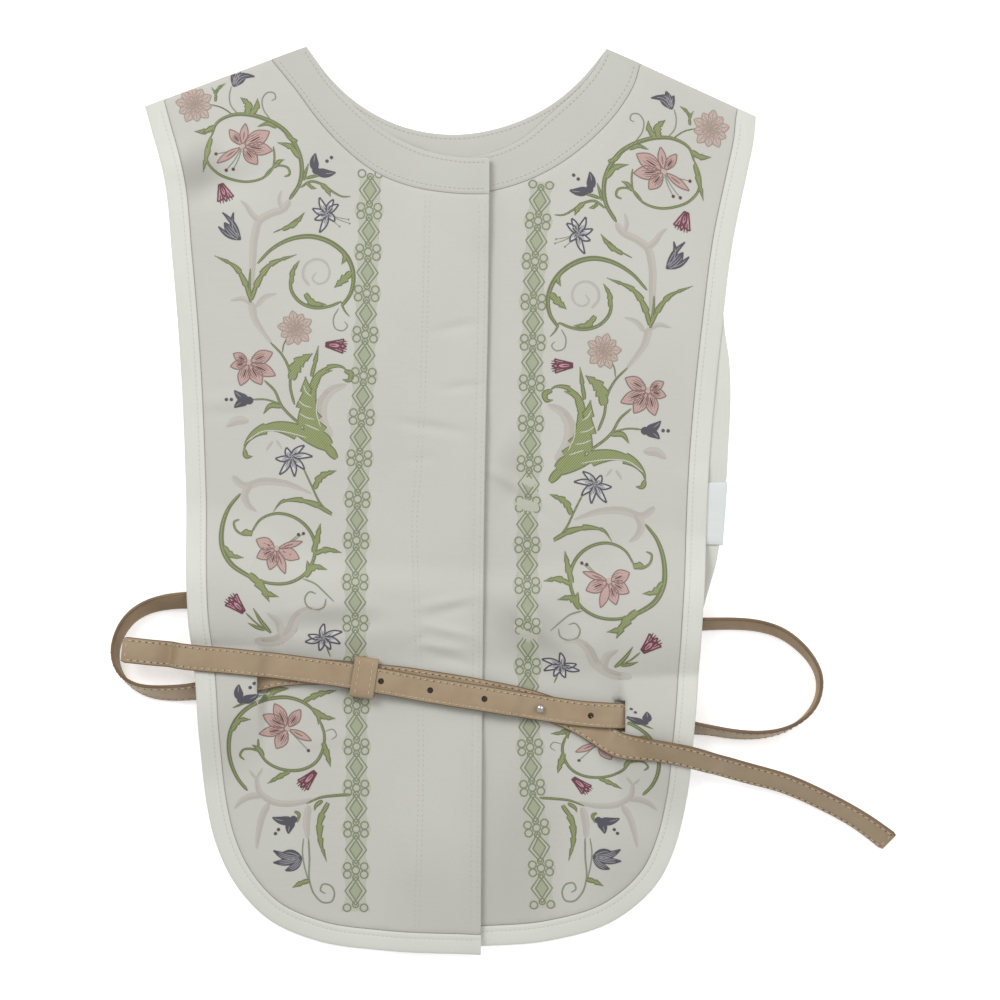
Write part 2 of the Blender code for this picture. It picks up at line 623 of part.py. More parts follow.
def drill(obj, places, radius, cutters):
    for i, (x, y) in enumerate(places):
        bpy.ops.mesh.primitive_cylinder_add(
            vertices=16, radius=radius * MM, depth=60 * MM, location=to_metres(x, y, 0.0)
        )
        cutter = bpy.context.active_object
        cutter.name = f"{obj.name}_hole_{i}"
        cutter.hide_render = True
        cutter.display_type = "WIRE"
        for other in list(cutter.users_collection):
            other.objects.unlink(cutter)
        cutters.objects.link(cutter)
        hole = obj.modifiers.new(f"hole_{i}", "BOOLEAN")
        hole.object = cutter
        hole.operation = "DIFFERENCE"


def height_at(line, place):
    return line[np.hypot(line[:, 0] - place[0], line[:, 1] - place[1]).argmin(), 2]


def make_keeper(top, under, collection, cutters):
    """A sewn leather loop round both straps, with room at each side of them."""
    low = height_at(under, KEEPER_AT) - BELT_WALL / 2 - GAP
    high = height_at(top, KEEPER_AT) + BELT_WALL / 2 + 2 * GAP
    turn = math.radians(KEEPER_TURN)
    inner_span = KEEPER_SPAN - 2 * KEEPER_SIDE
    sizes = [
        ("belt_keeper", KEEPER_LENGTH, KEEPER_SPAN, high - low + 2 * KEEPER_WALL),
        ("keeper_hollow", KEEPER_LENGTH * 2, inner_span, high - low),
    ]
    made = []
    for name, length, span, height in sizes:
        place = to_metres(*KEEPER_AT, (low + high) / 2)
        bpy.ops.mesh.primitive_cube_add(size=1.0, location=place, rotation=(0, 0, turn))
        obj = bpy.context.active_object
        obj.name = name
        obj.data.transform(Matrix.Diagonal((length * MM, span * MM, height * MM, 1.0)))
        for other in list(obj.users_collection):
            other.objects.unlink(obj)
        made.append(obj)
    keeper, hollow = made
    collection.objects.link(keeper)
    cutters.objects.link(hollow)
    hollow.hide_render = True
    hollow.display_type = "WIRE"
    keeper.data.materials.append(new_material("belt_keeper", "leather"))
    rounded = keeper.modifiers.new("rounded", "BEVEL")
    rounded.width = KEEPER_EDGE * MM
    rounded.segments = 2
    opening = keeper.modifiers.new("hollow", "BOOLEAN")
    opening.object = hollow
    opening.operation = "DIFFERENCE"


def make_stud(top, under, collection):
    """A turned ball stud whose neck stands in the under strap and passes the top one."""
    low = height_at(under, STUD_AT) - BELT_WALL / 2
    high = height_at(top, STUD_AT) + BELT_WALL / 2 + GAP
    neck = high - low + GAP
    rise = STUD_HEAD * 0.8
    profile = [(0.0, neck + 2 * rise)]
    for i in range(1, 8):
        turn = math.pi * i / 8
        profile.append((STUD_HEAD * math.sin(turn), neck + rise + rise * math.cos(turn)))
    profile = [p for p in profile if p[0] == 0.0 or p[0] > STUD_NECK or p[1] > neck + rise]
    profile += [(STUD_NECK, neck), (STUD_NECK, 0.0), (0.0, 0.0)]
    mesh = bpy.data.meshes.new("belt_stud")
    points = [Vector((r * MM, 0.0, z * MM)) for r, z in profile]
    mesh.from_pydata(points, [(i, i + 1) for i in range(len(points) - 1)], [])
    obj = add_object("belt_stud", mesh, "metal", collection)
    obj.location = to_metres(*STUD_AT, low)
    turned = obj.modifiers.new("turned", "SCREW")
    turned.steps = turned.render_steps = 20
    turned.use_merge_vertices = True
    turned.merge_threshold = 0.00001
    turned.use_normal_calculate = True
    return obj


def make_belt(collection, cutters):
    under, top = under_strap_line(), top_strap_line()
    joined = standing(smooth_line(RIGHT_STRAND, STRAP_STEP))
    top = np.concatenate([top, joined[1:]])
    hidden = standing(smooth_line(LEFT_STRAND, STRAP_STEP))
    under = np.concatenate([hidden[:-1], under])
    half = 1.5 * GAP
    top_strap = strap("belt_top_strap", trimmed(top, 0.0, half), collection)
    under_strap = strap("belt_under_strap", trimmed(under, half, 0.0), collection)
    for name, rows in (
        ("belt_right_loop", RIGHT_LOOP),
        ("belt_back_strap", BACK_STRAND),
        ("belt_left_loop", LEFT_LOOP),
    ):
        line = standing(smooth_line(rows, STRAP_STEP))
        strap(name, trimmed(line, half, half), collection)
    drill(top_strap, PUNCHED_HOLES + [STUD_AT], HOLE_RADIUS, cutters)
    drill(under_strap, [STUD_AT], HOLE_RADIUS, cutters)
    make_keeper(top, under, collection, cutters)
    make_stud(top, under, collection)


def main():
    for obj in list(bpy.data.objects):
        bpy.data.objects.remove(obj, do_unlink=True)
    collection = bpy.data.collections.new("apron_vest")
    cutters = bpy.data.collections.new("cutters")
    bpy.context.scene.collection.children.link(collection)
    bpy.context.scene.collection.children.link(cutters)
    make_back(collection)
    make_fronts(collection)
    make_label(collection)
    make_belt(collection, cutters)


main()
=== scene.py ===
"""Looks of an apron vest laid flat: figured cloth with scrolls of flowers, a lattice strip
beside each, bound edges, a neckband, and a narrow stitched leather belt.

Tables are in millimetres, X across the vest and Y towards the shoulders, and become metres
of the row's frame when a mesh is made."""

import math

import bmesh
import bpy
import numpy as np
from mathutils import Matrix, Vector
from mathutils.bvhtree import BVHTree
from mathutils.geometry import delaunay_2d_cdt


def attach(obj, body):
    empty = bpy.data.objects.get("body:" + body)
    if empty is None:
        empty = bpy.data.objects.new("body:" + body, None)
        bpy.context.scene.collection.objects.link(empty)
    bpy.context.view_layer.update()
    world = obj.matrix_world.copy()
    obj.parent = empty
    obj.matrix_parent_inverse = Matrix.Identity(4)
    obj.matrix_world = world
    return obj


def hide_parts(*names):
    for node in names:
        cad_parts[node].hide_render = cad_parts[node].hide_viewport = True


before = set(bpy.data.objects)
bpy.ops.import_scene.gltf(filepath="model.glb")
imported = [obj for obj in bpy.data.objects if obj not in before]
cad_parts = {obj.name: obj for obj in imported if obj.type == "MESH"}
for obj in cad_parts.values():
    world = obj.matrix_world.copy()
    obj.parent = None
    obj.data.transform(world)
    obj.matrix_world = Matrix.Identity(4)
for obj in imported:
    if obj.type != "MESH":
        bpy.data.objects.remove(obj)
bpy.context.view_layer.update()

MM = 0.001
# The frame's origin in the tables' millimetres
CENTRE_X, CENTRE_Y = 1.43, -0.15
# Cloth walls and the levels of the layers, from the surface up
GAP = 0.3
BACK_WALL = 1.3
BAND_WALL_BACK = 1.5
FRONT_BASE = BAND_WALL_BACK + GAP
FRONT_WALL = 1.2
BAND_WALL = 1.6
OVERLAP_SPARE = 0.2
OVERLAP_RISE = BAND_WALL + GAP + OVERLAP_SPARE
BINDING_WIDTH = 12.4
BACK_INSET = 1.2
# The fronts' rise over the label, in walls of the label, and the width of its slope
LABEL_RISE, LABEL_RAMP = 1.5, 14.0
# The left front's top is counted on to this far past the edge of its placket.
PLACKET_LAP = 5.0

# The left front lies over the right one from the hidden edge to the edge of its placket.
HIDDEN_EDGE_X = -46.0
HIDDEN_EDGE_CLEAR = 4.0
HIDDEN_EDGE_ROWS = (193.0, 0.0, -277.0)
OVERLAP_RAMP = 26.0

# Belt
BELT_WIDTH = 16.0
BELT_WALL = 2.2
BELT_CLEAR = 0.8
# Between these the strands stand on the back, and past them on the surface.
BACK_REACH = (-200.0, 132.0)
# Between these the straps lie on the fronts, and past them they stand free.
UNDER_STRAP_REST = (-144.0, 136.0)
TOP_STRAP_REST = (-200.0, 71.0)
SLIT_WIDTH = 6.0
SLIT_SPARE = 1.6
HOLE_RADIUS = 2.0
# Worn-in holes are a little narrower. The drill's depth is in metres, its middle in mm.
HOLE_SHARE, DRILL_DEPTH, DRILL_LEVEL = 0.95, 0.06, 20.0
# Light, dark and warm tones of the figured cloth, in display steps of 0 to 255
CLOTH_TONES = [(202, 203, 194), (198, 197, 190), (206, 202, 194)]
# Soft patches of painted shade on the fronts, where dips and slopes fall in shadow: middle, half sizes,
# turn, share
PAINTED_SHADE_TONE = (158, 154, 146)
PAINTED_SHADE_PATCHES = [
    ((-189.0, 204.0), (34.0, 20.0), 52.0, 0.5),
    ((-108.0, -73.0), (48.0, 11.0), 3.0, 0.4),
    ((18.0, -78.0), (40.0, 26.0), -12.0, 0.5),
    ((12.0, -225.0), (36.0, 90.0), 0.0, 0.3),
    ((-40.0, -250.0), (60.0, 60.0), 0.0, 0.15),
    ((96.0, -240.0), (60.0, 50.0), 30.0, 0.2),
    ((8.0, 20.0), (16.0, 34.0), -20.0, 0.3),
]
# How far the placket's free edge stands off (y, height), and the width that it lifts
PLACKET_LIFT_REACH = 16.0
PLACKET_LIFT = [
    (230.0, 3.2), (165.0, 3.4), (150.0, 2.2), (65.0, 1.9), (50.0, 3.2), (15.0, 3.2),
    (-15.0, 2.6), (-60.0, 2.4), (-95.0, 0.9), (-140.0, 0.9), (-165.0, 2.8), (-285.0, 2.8),
]
# A front's rise over a hidden strand: how far it stays flat past the strand, and how wide
# the slope is, at first and for each millimetre of rise
RIDGE_MARGIN, RIDGE_RAMP, RIDGE_SPREAD = 2.5, 12.0, 3.0
# Length over which a strap bridges what lies under it, places across its width where that
# is measured, its slack over the cloth in gaps, and the margin within which straps cross
STIFFNESS = 4.0
STRAP_PROBES, STRAP_SLACK, STRAP_MARGIN = 7, 1.5, 0.6
KEEPER_LENGTH = 14.9
KEEPER_SPAN = 25.4
KEEPER_WALL = 1.3
KEEPER_RAMP = 20.0
KEEPER_AT = (-84.0, -109.8)
KEEPER_TURN = -9.0
# How square the ring is, its slack over the top strap in gaps, and how proud its middle is
KEEPER_CORNERS, KEEPER_SLACK, KEEPER_CROWN = 0.34, 1.6, 1.12
# The keeper's face from its end to its middle: distance in and thickness as a share. The
# stitches lie in the groove, its fifth row.
KEEPER_FACE = [(0.0, 0.0), (0.1, 0.7), (0.5, 1.0), (2.6, 1.0), (3.3, 0.82), (4.0, 1.0)]
LEFT_SLIT_AT = (-150.0, -110.2)
RIGHT_SLIT_AT = (77.4, -133.7)
STUD_AT = (24.8, -128.7)
STUD_HEAD = 2.7
STUD_NECK = 1.4
# The ball's middle above the strap and its height, as shares of its size
STUD_SINK, STUD_FLATNESS = 0.8, 0.86

# Spacing of the points on a strap's middle line and on the surface of a piece
STRAP_STEP = 5.0
CLOTH_STEP, OUTLINE_STEP, BAND_STEP, LEATHER_STEP = 2.6, 2.6, 2.4, 2.4
BACK_CLOTH_STEP = 5.0

# Outer edge of each front from the shoulder tip down the side and along the hem (x, y)
LEFT_SIDE = [
    (-220.2, 244.1), (-215.8, 227.9), (-209.6, 205.5), (-203.2, 148.5), (-197.6, 75.0),
    (-195.0, 12.1), (-193.6, -37.5), (-191.7, -77.8), (-187.6, -111.9), (-185.7, -149.1),
    (-182.4, -186.3), (-176.6, -212.0), (-165.6, -236.0), (-144.0, -259.8),
    (-114.4, -273.1), (-75.0, -279.2), (-40.0, -281.0), (-11.9, -281.5),
]
RIGHT_SIDE = [
    (158.8, 237.8), (157.4, 222.9), (153.4, 203.1), (144.6, 160.9), (138.2, 111.3),
    (132.9, 61.7), (129.1, 12.1), (127.0, -37.5), (124.6, -74.7), (122.2, -111.9),
    (118.9, -149.1), (115.4, -186.3), (110.0, -211.1), (98.9, -235.9), (71.5, -260.5),
    (31.9, -273.1), (-9.0, -276.6), (-46.0, -277.2),
]
# Left edge of the back, which follows the front a little further in
BACK_LEFT_SIDE = [(-219.0, 243.7)] + [
    (x + BACK_INSET, y + (BACK_INSET if y < -200.0 else 0.0)) for x, y in LEFT_SIDE[1:-3]
] + [(-75.0, -276.6), (-30.0, -276.4)]
# Right edge of the back, which shows past the front from the chest to the belt
BACK_RIGHT_SIDE = [
    (157.6, 237.2), (156.0, 222.4), (152.0, 203.0), (143.4, 160.9), (138.6, 125.0),
    (139.4, 108.0), (142.4, 86.0), (143.2, 66.0), (142.0, 36.9), (140.6, 12.1),
    (138.0, -12.7), (134.6, -37.5), (128.4, -60.0), (123.0, -80.0), (121.0, -111.9),
    (117.6, -149.1), (114.2, -186.3), (108.8, -211.1), (97.7, -235.9), (70.6, -259.6),
    (31.2, -272.0), (-30.0, -276.4),
]

# Neckbands: a point of the neck edge and, across from it, one of the seam
NECK_LEFT = [
    ((-120.0, 281.2), (-141.7, 273.3)), ((-104.0, 257.8), (-126.6, 254.8)),
    ((-92.1, 245.8), (-112.4, 235.6)), ((-80.3, 235.3), (-97.2, 219.2)),
    ((-64.8, 224.8), (-77.2, 203.6)), ((-46.8, 216.7), (-56.0, 194.8)),
    ((-26.0, 212.4), (-30.0, 190.4)), ((-6.6, 211.6), (-6.6, 189.4)),
]
NECK_RIGHT = [
    ((66.0, 279.9), (86.9, 270.8)), ((58.4, 266.6), (83.0, 257.8)),
    ((49.9, 256.4), (75.3, 244.6)), ((30.1, 238.4), (56.6, 223.8)),
    ((12.4, 223.5), (30.4, 204.8)), ((-5.9, 215.6), (0.3, 193.1)),
    ((-24.5, 212.5), (-23.0, 189.8)), ((-46.0, 216.2), (-46.0, 192.6)),
]
NECK_BACK = [
    ((-120.0, 281.2), (-141.7, 273.3)), ((-104.0, 260.4), (-120.4, 245.0)),
    ((-90.2, 247.7), (-102.8, 229.2)), ((-63.0, 232.8), (-70.4, 211.6)),
    ((-28.8, 226.9), (-28.6, 204.6)), ((4.7, 232.6), (12.4, 211.8)),
    ((35.0, 247.7), (48.6, 229.8)), ((49.9, 260.6), (67.2, 246.0)),
    ((66.0, 279.9), (86.9, 270.8)),
]

# Front edge of the placket from the neckband to the hem (x, y)
PLACKET_EDGE = [
    (-6.6, 189.1), (-7.2, 123.7), (-9.4, 12.7), (-10.4, -80.3), (-11.2, -180.0),
    (-11.9, -281.5),
]

# The belt in the order of its length, tip to tip: x, y, z of its middle, and roll, which
# is 0 where the stitched face is up, 90 where it faces out of a loop and 180 face down.
# A z of 0 leaves the strap to rest on what lies under it.
TOP_STRAP = [
    (-232.6, -92.0, 16.6, 0), (-212.0, -94.1, 17.6, 0), (-190.5, -96.8, 0, 0),
    (-164.0, -99.3, 0, 0), (-142.3, -102.0, 0, 0), (-120.6, -104.8, 0, 0),
    (-102.0, -107.2, 0, 0), (-73.5, -111.9, 0, 0), (-43.1, -117.5, 0, 0),
    (-9.6, -122.8, 0, 0), (24.8, -128.5, 6.0, 0), (56.1, -132.7, 7.3, 0), (70.0, -133.4, 8.0, 0),
]
RIGHT_STRAND = [
    (77.4, -133.8, 5.6, 0), (86.0, -134.6, 3.4, 0), (96.0, -136.5, 3.6, 8),
    (106.0, -138.6, 6.6, 34),
]
RIGHT_LOOP = [
    (106.0, -138.6, 6.6, 34), (118.1, -140.7, 9.6, 60), (128.0, -142.0, 9.0, 67),
    (145.4, -144.8, 8.3, 70), (160.8, -145.2, 8.3, 74), (175.8, -142.1, 8.4, 80),
    (187.2, -135.6, 8.4, 86), (194.6, -127.0, 8.4, 90), (197.6, -118.0, 8.4, 92),
    (197.4, -109.2, 8.4, 96), (192.6, -98.8, 8.4, 101), (184.6, -89.8, 8.4, 106),
    (174.0, -82.2, 8.3, 110), (161.0, -78.0, 8.3, 113), (142.9, -76.4, 8.3, 115),
    (130.0, -76.6, 8.8, 116), (118.0, -76.8, 9.4, 120), (104.0, -76.5, 8.0, 138),
]
BACK_STRAND = [
    (104.0, -76.5, 8.0, 138), (88.0, -75.8, 5.2, 160), (70.0, -75.0, 3.1, 180),
    (0.0, -71.6, 2.9, 180), (-80.0, -67.6, 2.9, 180), (-140.0, -64.4, 3.0, 180),
    (-158.0, -63.4, 4.8, 160), (-174.0, -62.5, 7.0, 143),
]
LEFT_LOOP = [
    (-174.0, -62.5, 7.0, 143), (-192.0, -61.9, 8.8, 128), (-205.6, -63.0, 8.0, 124),
    (-218.0, -66.2, 7.8, 118), (-228.4, -72.8, 8.0, 111), (-235.0, -82.4, 8.2, 104),
    (-238.0, -93.2, 8.3, 98), (-236.8, -103.0, 8.3, 91), (-232.2, -110.4, 8.3, 84),
    (-225.0, -115.6, 8.2, 74), (-216.4, -118.4, 7.8, 62), (-204.3, -119.4, 7.4, 54),
    (-190.0, -118.5, 8.6, 50), (-176.0, -116.6, 7.4, 34),
]
LEFT_STRAND = [
    (-176.0, -116.6, 7.4, 34), (-162.0, -113.4, 5.6, 14), (-150.0, -110.6, 4.5, 0),
]
UNDER_STRAP = [
    (-142.0, -108.4, 4.8, 0), (-124.0, -106.6, 4.8, 0), (-105.1, -106.6, 0, 0),
    (-84.0, -108.8, 0, 0), (-62.0, -110.8, 0, 0), (-43.1, -113.6, 0, 0), (-9.6, -119.2, 0, 0),
    (24.8, -127.4, 0, 0), (51.8, -138.4, 0, 0), (64.0, -146.2, 0, 0), (73.0, -151.5, 0, 2),
    (84.0, -152.9, 9.4, 18), (95.0, -154.0, 13.2, 33), (104.5, -155.5, 16.2, 34),
    (118.1, -158.3, 18.0, 33), (130.5, -161.9, 16.4, 36), (151.6, -168.2, 13.0, 37),
    (175.2, -174.8, 10.4, 40), (199.3, -185.4, 8.6, 42), (222.9, -198.4, 7.4, 42),
    (240.9, -211.5, 6.4, 35),
]
PUNCHED_HOLES = [(-73.5, -111.9), (-43.1, -117.5), (-9.6, -122.8), (56.1, -133.3)]

# Soft folds of both fronts: middle, direction in degrees, length, width, height
FOLDS = [
    ((-178.0, 212.0), 10.0, 90.0, 36.0, 3.6), ((-176.0, 192.0), 14.0, 70.0, 26.0, -1.4),
    ((-170.0, 62.0), 4.0, 56.0, 16.0, 0.8), ((-168.0, 53.0), 2.0, 50.0, 12.0, -0.5),
    ((-27.0, 107.0), 12.0, 44.0, 10.0, -1.2), ((-24.0, 70.0), 7.0, 40.0, 8.0, -1.2),
    ((-42.0, 45.0), -9.0, 66.0, 10.0, -1.3), ((-50.0, 25.0), 6.0, 40.0, 8.0, -0.5),
    ((6.0, 12.0), -28.0, 46.0, 13.0, 1.5), ((18.0, -4.0), -30.0, 46.0, 13.0, -0.8),
    ((-106.0, -76.0), 4.0, 86.0, 24.0, -1.8), ((-34.0, -63.0), 12.0, 54.0, 9.0, 1.5),
    ((-32.0, -69.0), 14.0, 52.0, 8.0, -0.9), ((-34.0, -80.0), -12.0, 50.0, 9.0, 1.5),
    ((-36.0, -91.0), -8.0, 48.0, 8.0, 1.5), ((-30.0, -99.0), -12.0, 44.0, 7.0, -0.8),
    ((-50.0, -86.0), 34.0, 26.0, 7.0, -0.7), ((24.0, -79.0), -38.0, 66.0, 19.0, 1.5),
    ((38.0, -66.0), -30.0, 60.0, 18.0, -0.9), ((-110.0, -148.0), 8.0, 64.0, 18.0, 0.8),
    ((76.0, 220.0), 60.0, 44.0, 18.0, -0.8), ((-54.0, -228.0), 80.0, 40.0, 12.0, 0.7),
]

# The line along which the placket's fold is stitched down (x, y)
PLACKET_TOPSTITCH = [
    (-46.2, 189.6), (-48.1, 108.2), (-51.2, 28.8), (-54.3, -10.9), (-53.0, -62.3),
    (-50.5, -159.0), (-53.0, -265.0),
]
# The belt's stitching: from the belt's middle, from its ends, and above its middle plane
BELT_STITCH, END_STITCH = 6.0, 2.4
STITCH_LEVEL, END_LEVEL = 1.0, 1.02
# Length that one row of a ring's faces takes of the leather's map
RING_MAP_STEP = 1.2

# The label's outline, how far its lower right corner is in, and its satin's share of its wall
LABEL = {
    "left": 118.0, "right": 141.2, "low": -28.0, "high": 11.0, "skew": 3.0, "wall": 1.0, "share": 0.9,
}


def length_along(line):
    """Distance of each point from the line's start, along it."""
    steps = np.linalg.norm(np.diff(line[:, :3], axis=0), axis=1)
    return np.concatenate([[0.0], np.cumsum(steps)])


def right_of(line):
    """Unit directions to the right of a line at each of its points, in plan."""
    along = np.gradient(line[:, :2], axis=0)
    along /= np.maximum(np.linalg.norm(along, axis=1), 1e-9)[:, None]
    return np.stack([along[:, 1], -along[:, 0]], axis=1)


def smooth_line(points, step):
    """Points about a step apart on a smooth line through the given ones."""
    knots = np.array(points, float)
    spans = np.linalg.norm(np.diff(knots[:, :2], axis=0), axis=1)
    at = np.concatenate([[0.0], np.cumsum(spans)])
    slopes = np.gradient(knots, at, axis=0)
    where = np.linspace(0.0, at[-1], max(2, round(at[-1] / step) + 1))
    row = np.clip(np.searchsorted(at, where, side="right") - 1, 0, len(spans) - 1)
    span = spans[row][:, None]
    t = (where - at[row])[:, None] / span
    return (
        (2 * t**3 - 3 * t**2 + 1) * knots[row]
        + (t**3 - 2 * t**2 + t) * span * slopes[row]
        + (3 * t**2 - 2 * t**3) * knots[row + 1]
        + (t**3 - t**2) * span * slopes[row + 1]
    )


def moved_sideways(line, distance):
    """The line moved to the left of its own direction by a distance."""
    return line[:, :2] - distance * right_of(line)


def cosine_step(value):
    """Falls smoothly from 1 at value 0 to 0 at value 1."""
    return 0.5 + 0.5 * np.cos(np.pi * np.clip(value, 0.0, 1.0))


def standing(line):
    """A strap's line raised so that its lower edge clears the back, or the surface outside."""
    line = line.copy()
    roll = np.radians(line[:, 3])
    reach = BELT_WIDTH / 2 * abs(np.sin(roll)) + BELT_WALL / 2 * abs(np.cos(roll))
    on_back = (line[:, 0] > BACK_REACH[0]) & (line[:, 0] < BACK_REACH[1])
    level = np.where(on_back, BAND_WALL_BACK, 0.0) + GAP
    line[:, 2] = np.maximum(line[:, 2], level + reach)
    return line


def strand_top(rows):
    """A hidden strand as points of x, y, height of its top and half its width in plan."""
    table = standing(smooth_line(rows, STRAP_STEP))
    roll = np.radians(table[:, 3])
    half = BELT_WIDTH / 2
    top = table[:, 2] + half * abs(np.sin(roll)) + BELT_WALL / 2 * abs(np.cos(roll))
    return np.column_stack([table[:, :2], top, half * abs(np.cos(roll))])


def ridge(x, y, rows, slit_end):
    """How far the fronts rise over one strand that lies under them. The rise stops within
    the slit where the strand comes out, at its first or last point as slit_end says."""
    table = strand_top(rows)
    best = np.zeros_like(x)
    for a, b in zip(table[:-1], table[1:]):
        run = b[:2] - a[:2]
        along = (x - a[0]) * run[0] + (y - a[1]) * run[1]
        t = np.clip(along / (run @ run), 0.0, 1.0)[..., None]
        near = a + t * (b - a)
        away = np.hypot(x - near[..., 0], y - near[..., 1])
        rise = np.maximum(near[..., 2] + BELT_CLEAR - FRONT_BASE, 0.0)
        ramp = RIDGE_RAMP + RIDGE_SPREAD * rise
        best = np.maximum(best, rise * cosine_step((away - near[..., 3] - RIDGE_MARGIN) / ramp))
    if slit_end:
        end, before = (table[0], table[1]) if slit_end == "first" else (table[-1], table[-2])
        past = (x - end[0]) * np.sign(end[0] - before[0])
        best *= cosine_step(past / SLIT_WIDTH)
    return best


def fold_rise(x, y):
    """Height of the soft folds at a place."""
    total = np.zeros_like(x)
    for (at_x, at_y), degrees, length, width, height in FOLDS:
        turn = math.radians(degrees)
        dx, dy = x - at_x, y - at_y
        along = dx * math.cos(turn) + dy * math.sin(turn)
        across = -dx * math.sin(turn) + dy * math.cos(turn)
        total += height * cosine_step(np.hypot(along / (length / 2), across / (width / 2)))
    return total


def label_rise(x, y):
    """The fronts rise over the edge of the label that is tucked under them."""
    dx = np.maximum(LABEL["left"] - x, 0.0)
    dy = np.maximum(np.maximum(LABEL["low"] - y, y - LABEL["high"]), 0.0)
    return LABEL_RISE * LABEL["wall"] * cosine_step(np.hypot(dx, dy) / LABEL_RAMP)


def front_under(x, y):
    """Height of the underside of a front where it lies on the back and on the belt."""
    x, y = np.asarray(x, float), np.asarray(y, float)
    rises = [
        ridge(x, y, RIGHT_STRAND + RIGHT_LOOP[1:4], "first"),
        ridge(x, y, RIGHT_LOOP[-4:] + BACK_STRAND[1:] + LEFT_LOOP[1:3], ""),
        ridge(x, y, LEFT_LOOP[-3:] + LEFT_STRAND[1:], "last"),
        label_rise(x, y),
    ]
    return FRONT_BASE + np.maximum.reduce(rises) + fold_rise(x, y)


def placket_edge_at(y):
    """X of the placket's free edge at a y."""
    down = -np.asarray(y, float)
    return np.interp(down, [-row[1] for row in PLACKET_EDGE], [row[0] for row in PLACKET_EDGE])


def placket_lift(x, y):
    """How far the placket's free edge stands off."""
    away = placket_edge_at(y) - np.asarray(x, float)
    down = -np.asarray(y, float)
    high = np.interp(down, [-row[0] for row in PLACKET_LIFT], [row[1] for row in PLACKET_LIFT])
    return high * cosine_step(away / PLACKET_LIFT_REACH)


def left_under(x, y):
    """The left front rises once more where it lies over the right front."""
    x = np.asarray(x, float)
    over = OVERLAP_RISE * cosine_step((HIDDEN_EDGE_X - HIDDEN_EDGE_CLEAR - x) / OVERLAP_RAMP)
    return front_under(x, y) + over + placket_lift(x, y)


def on_surface(x, y):
    return np.zeros_like(np.asarray(x, float))


def cloth_top(x, y):
    """Height of the uppermost cloth at a place, taking bound edges as everywhere."""
    on_left = x < placket_edge_at(y) + PLACKET_LAP
    return np.where(on_left, left_under(x, y), front_under(x, y)) + BAND_WALL


def highest_near(line, reach):
    """For each point of a line, the greatest z within reach along it, and its distance."""
    at = length_along(line[:, :2])
    near = abs(at[:, None] - at[None, :]) <= reach
    return np.where(near, line[None, :, 2], -1.0).max(axis=1), at


def rested(line, floor):
    """A strap's line raised to lie on what floor gives, and smoothed as stiff leather."""
    line = line.copy()
    line[:, 2] = np.maximum(line[:, 2], floor)
    high, at = highest_near(line, STIFFNESS)
    weight = cosine_step(abs(at[:, None] - at[None, :]) / STIFFNESS)
    line[:, 2] = (weight * high[None, :]).sum(axis=1) / weight.sum(axis=1)
    return line


def cloth_under_strap(line):
    """Height at which the middle of a flat strap just clears the cloth below its width."""
    across = moved_sideways(line, 1.0) - line[:, :2]
    lean = np.sin(np.radians(line[:, 3]))
    tops = [
        cloth_top(*(line[:, :2] + across * offset).T) - lean * offset
        for offset in np.linspace(-BELT_WIDTH / 2, BELT_WIDTH / 2, STRAP_PROBES)
    ]
    return np.max(tops, axis=0) + STRAP_SLACK * GAP + BELT_WALL / 2


def keeper_room(line):
    """The lower wall of the keeper raises the straps a little where it passes under them."""
    away = np.hypot(line[:, 0] - KEEPER_AT[0], line[:, 1] - KEEPER_AT[1])
    return (KEEPER_WALL + GAP) * cosine_step((away - KEEPER_LENGTH) / KEEPER_RAMP)


def under_strap_line():
    rows = LEFT_STRAND[-1:] + UNDER_STRAP
    line = smooth_line(rows, STRAP_STEP)
    floor = cloth_under_strap(line) + keeper_room(line)
    floor[(line[:, 0] < UNDER_STRAP_REST[0]) | (line[:, 0] > UNDER_STRAP_REST[1])] = 0.0
    return rested(line, floor)


def top_strap_line():
    line = smooth_line(TOP_STRAP + RIGHT_STRAND[:1], STRAP_STEP)
    below = under_strap_line()
    floor = cloth_under_strap(line) + keeper_room(line)
    apart = np.linalg.norm(line[:, None, :2] - below[None, :, :2], axis=2)
    lap = np.where(apart < BELT_WIDTH + STRAP_MARGIN, below[None, :, 2], 0.0).max(axis=1)
    floor = np.maximum(floor, lap + BELT_WALL + GAP)
    floor[(line[:, 0] < TOP_STRAP_REST[0]) | (line[:, 0] > TOP_STRAP_REST[1])] = 0.0
    return rested(line, floor)


# Cut edges of cloth: thickness there as a share of the wall, and how far in it is full
EDGE_SHARE, EDGE_SOFT = 0.45, 1.6
# Rows of points inside a piece: their spacing as a share of the step, and their distance
# from its edge and from a slit, with one more row set in along the edge
ROW_SHARE, EDGE_CLEAR, SLIT_CLEAR = 0.87, 1.9, 1.2
INSET, INSET_CLEAR = 0.9, 0.6
# Angles above which an edge stays sharp, for cloth and leather and for threads and metal
SHARP, FINE_SHARP = math.radians(55), math.radians(40)


def inside(points, outline):
    """Which points lie inside a closed outline."""
    x, y = points[:, :1], points[:, 1:2]
    ax, ay = outline[:, 0], outline[:, 1]
    bx, by = np.roll(ax, -1), np.roll(ay, -1)
    crosses = (ay > y) != (by > y)
    with np.errstate(divide="ignore", invalid="ignore"):
        at = ax + (y - ay) * (bx - ax) / (by - ay)
    return (crosses & (x < at)).sum(axis=1) % 2 == 1


def distance_to(points, outline):
    """How far each point lies from a closed outline."""
    run = np.roll(outline, -1, axis=0) - outline
    square = np.maximum((run * run).sum(1), 1e-9)
    found = []
    for start in range(0, len(points), 2000):
        away = points[start : start + 2000, None, :] - outline[None, :, :]
        t = np.clip((away * run).sum(2) / square, 0, 1)
        found.append(np.linalg.norm(away - t[..., None] * run, axis=2).min(axis=1))
    return np.concatenate(found) if found else np.zeros(0)


